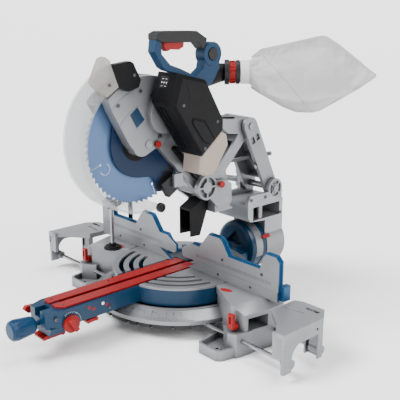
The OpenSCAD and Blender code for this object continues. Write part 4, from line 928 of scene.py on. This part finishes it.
class Sack:
    """The bag's grid: rows run from the cuff to the far corner, columns run round it."""
    rows, columns = 76, 64
    start, stop = 38.4, 384.0
    place = Matrix.Translation(spout_at / 1000) @ spout_turn.to_4x4()

    @classmethod
    def corners(cls):
        """The grid's points. In mm, t runs along the bag, h up its panels and full out of them."""
        for i in range(cls.rows + 1):
            t = cls.start + (cls.stop - cls.start) * i / cls.rows
            top, low = along_line(edge_top, t), along_line(edge_low, t)
            full = 25 + 11 * math.sin(math.pi * min(1.0, max(0.0, (t - 60) / 250)))
            if t < 60:
                full = 27
            full *= min(1.0, max(0.03, ((cls.stop - t) / 110) ** 0.7))
            flat = min(1.0, max(0.0, (t - 58) / 45))
            gather = 0.075 * max(0.0, 1 - abs(t - 82) / 24)
            for j in range(cls.columns):
                a = math.tau * j / cls.columns
                c, s = math.cos(a), math.sin(a)
                lens = math.copysign(abs(c) ** (1.0 + 0.7 * flat), c)
                pleat = 1 + gather * math.sin(13 * a + 0.05 * t)
                h = (top + low) / 2 + (top - low) / 2 * s * (1 + (pleat - 1) * 0.4)
                loose = 1.0 if t < 150 or h > 20 else 0.45
                crumple = 5.5 * noise.noise(Vector((h / 22, t / 34, c))) * flat * abs(c) * loose
                yield cls.place @ (Vector((-h, full * lens * pleat + crumple * c, t)) / 1000)

    @classmethod
    def cloth(cls):
        n = cls.columns
        faces = [(i * n + j, i * n + (j + 1) % n, (i + 1) * n + (j + 1) % n, (i + 1) * n + j)
                 for i in range(cls.rows) for j in range(n)]
        faces += [tuple(reversed(range(n))), tuple(cls.rows * n + j for j in range(n))]
        return closed_mesh("dust_bag_cloth", list(cls.corners()), faces)

    @classmethod
    def on_cloth(cls, mesh, t, h, side):
        """Where the sagged cloth has come to, for a place on one of its panels."""
        top, low = along_line(edge_top, t), along_line(edge_low, t)
        s = max(-1.0, min(1.0, (h - (top + low) / 2) / max(0.5, (top - low) / 2)))
        a = math.asin(s) if side > 0 else math.pi - math.asin(s)
        row = min(cls.rows - 1e-6, max(0.0, (t - cls.start) / (cls.stop - cls.start) * cls.rows))
        column = a / math.tau * cls.columns % cls.columns
        i, j = int(row), int(column)
        u, v = row - i, column - j

        def at(p, q):
            return mesh.vertices[p * cls.columns + q % cls.columns].co

        return (at(i, j) * (1 - u) * (1 - v) + at(i + 1, j) * u * (1 - v)
                + at(i, j + 1) * (1 - u) * v + at(i + 1, j + 1) * u * v)


bag = shown("dust_bag_cloth", Sack.cloth())


def woven_finish(name, hue):
    m = surface(name, hue, 0.8, patch=0.06, patch_size=16, bump=0.0, shine=0.2)
    tree, skin = parts_of(m)
    place = place_in(tree)
    skin["Sheen Weight"].default_value = 0.15
    turn = node(tree, "ShaderNodeMapping", in_Vector=place, in_Rotation=(0, 0, -spout_yaw))
    threads = [node(tree, "ShaderNodeTexWave", bands_direction=axis,
                    in_Vector=turn.outputs["Vector"], in_Scale=260.0,
                    in_Distortion=0.6).outputs["Fac"] for axis in ("X", "Z")]
    crease = node(tree, "ShaderNodeTexNoise", in_Vector=place, in_Scale=26.0, in_Detail=2.0,
                  in_Distortion=1.4)
    cross = maths(tree, "MULTIPLY", *threads)
    return bumped(m, maths(tree, "MULTIPLY_ADD", cross, 0.08, crease.outputs["Fac"]), 0.5, 0.010)


def sag(piece, held, most=0.013):
    """Lets the panels crease and sink between the held points, by no more than most metres."""
    start = [v.co.copy() for v in piece.data.vertices]
    group = piece.vertex_groups.new(name="held")
    group.add(held, 1.0, "REPLACE")
    cloth = piece.modifiers.new("cloth", "CLOTH")
    c = cloth.settings
    c.quality = 6
    c.mass = 0.2
    c.tension_stiffness = c.compression_stiffness = 14
    c.shear_stiffness = 6
    c.bending_stiffness = 0.12
    c.vertex_group_mass = "held"
    c.shrink_min = -0.08
    c.use_pressure = True
    c.uniform_pressure_force = 0.25
    c.effector_weights.gravity = 0.7
    cloth.point_cache.frame_end = 26
    scene = bpy.context.scene
    for frame_number in range(1, 27):
        scene.frame_set(frame_number)
    moved = piece.evaluated_get(bpy.context.evaluated_depsgraph_get()).to_mesh()
    ends = [v.co.copy() for v in moved.vertices]
    piece.modifiers.clear()
    piece.vertex_groups.clear()
    scene.frame_set(1)
    for v, a, b in zip(piece.data.vertices, start, ends):
        step = b - a
        v.co = a + (step if step.length < most else step * (most / step.length))


n = Sack.columns
hems = [i * n + j for i in range(Sack.rows + 1) for j in (n // 4, 3 * n // 4)]
sag(bag, list(range(n * 6)) + hems)
bag_white = woven_finish("bag_cloth", (0.46, 0.46, 0.46))
bag.data.materials.append(bag_white)
for f in bag.data.polygons:
    f.use_smooth = True
welded = bag.data.copy()
smoother = bag.modifiers.new("smooth", "SUBSURF")
smoother.levels = smoother.render_levels = 1
settle(bag)
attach(bag, "head")
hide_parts("dust_bag")

hem_white = surface("hem_tape", (0.40, 0.40, 0.40), 0.7, bump=0.1, shine=0.25)


def tape(name, line, outward, widths, thick, finish):
    """A flat welded strip along a line, which reaches out from it by its widths."""
    verts, faces = [], []
    for p, out, width in zip(line, outward, widths):
        across = spout_turn @ Vector((0, thick / 2, 0))
        verts += [p - across, p + across, p + out * width + across, p + out * width - across]
    for i in range(len(line) - 1):
        faces += [(4 * i + a, 4 * i + (a + 1) % 4, 4 * i + 4 + (a + 1) % 4, 4 * i + 4 + a)
                  for a in range(4)]
    faces += [(3, 2, 1, 0), tuple(4 * (len(line) - 1) + a for a in range(4))]
    mesh = closed_mesh(name, verts, faces)
    mesh.materials.append(finish)
    piece = shown(name, mesh)
    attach(piece, "head")
    return piece


# The welded hem runs round the edge of the panels and the fold lies across them.
for name, column, up in (("hem_top", 3 * n // 4, -1), ("hem_low", n // 4, 1)):
    line = [welded.vertices[i * n + column].co.copy() for i in range(7, Sack.rows + 1)]
    ways = []
    for i, p in enumerate(line):
        run = (line[min(i + 1, len(line) - 1)] - line[max(i - 1, 0)]).normalized()
        ways.append(run.cross(spout_turn @ Vector((0, up, 0))).normalized())
    reach = [0.0015 + 0.0065 * min(1.0, (line[-1] - p).length / 0.05) for p in line]
    tape(name, [p - w * 0.002 for p, w in zip(line, ways)], ways, reach, 0.0016, hem_white)


def seam_path(name, points, finish, width=0.0012):
    """A welded seam that follows a line of points."""
    curve = bpy.data.curves.new(name, "CURVE")
    curve.dimensions = "3D"
    curve.bevel_depth = width
    curve.bevel_resolution = 2
    curve.use_fill_caps = True
    line = curve.splines.new("POLY")
    line.points.add(len(points) - 1)
    for p, co in zip(line.points, points):
        p.co = (*co, 1)
    mesh = flattened(name, curve)
    mesh.materials.clear()
    mesh.materials.append(finish)
    for f in mesh.polygons:
        f.use_smooth = True
    piece = shown(name, mesh)
    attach(piece, "head")
    return piece


for side, s in (("near", 1), ("far", -1)):
    for k, (p, q) in enumerate((((94, 50), (232, -94)), ((66, -28), (228, -95)))):
        count = 48
        way = [(p[0] + (q[0] - p[0]) * i / count, p[1] + (q[1] - p[1]) * i / count)
               for i in range(count + 1)]
        seam_path(f"fold_{side}_{k}", [Sack.on_cloth(welded, t, h, s) for t, h in way], hem_white)

# The cuff is a hard white ring that the cloth is welded to.
cuff = bmesh.new()
bmesh.ops.create_cone(cuff, cap_ends=False, segments=72, radius1=0.0288, radius2=0.0296,
                      depth=0.022)
bmesh.ops.solidify(cuff, geom=cuff.faces[:], thickness=0.0016)
bmesh.ops.recalc_face_normals(cuff, faces=cuff.faces)
bmesh.ops.transform(cuff, matrix=Sack.place @ Matrix.Translation((0, 0, 0.0505)), verts=cuff.verts)
cuff_plastic = surface("cuff_plastic", (0.55, 0.55, 0.55), 0.4, bump=0.08, shine=0.3)
cuff_piece = shown("bag_cuff", mesh_of("bag_cuff", cuff, cuff_plastic))
bevelled(cuff_piece, 0.5)
settle(cuff_piece)
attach(cuff_piece, "head")
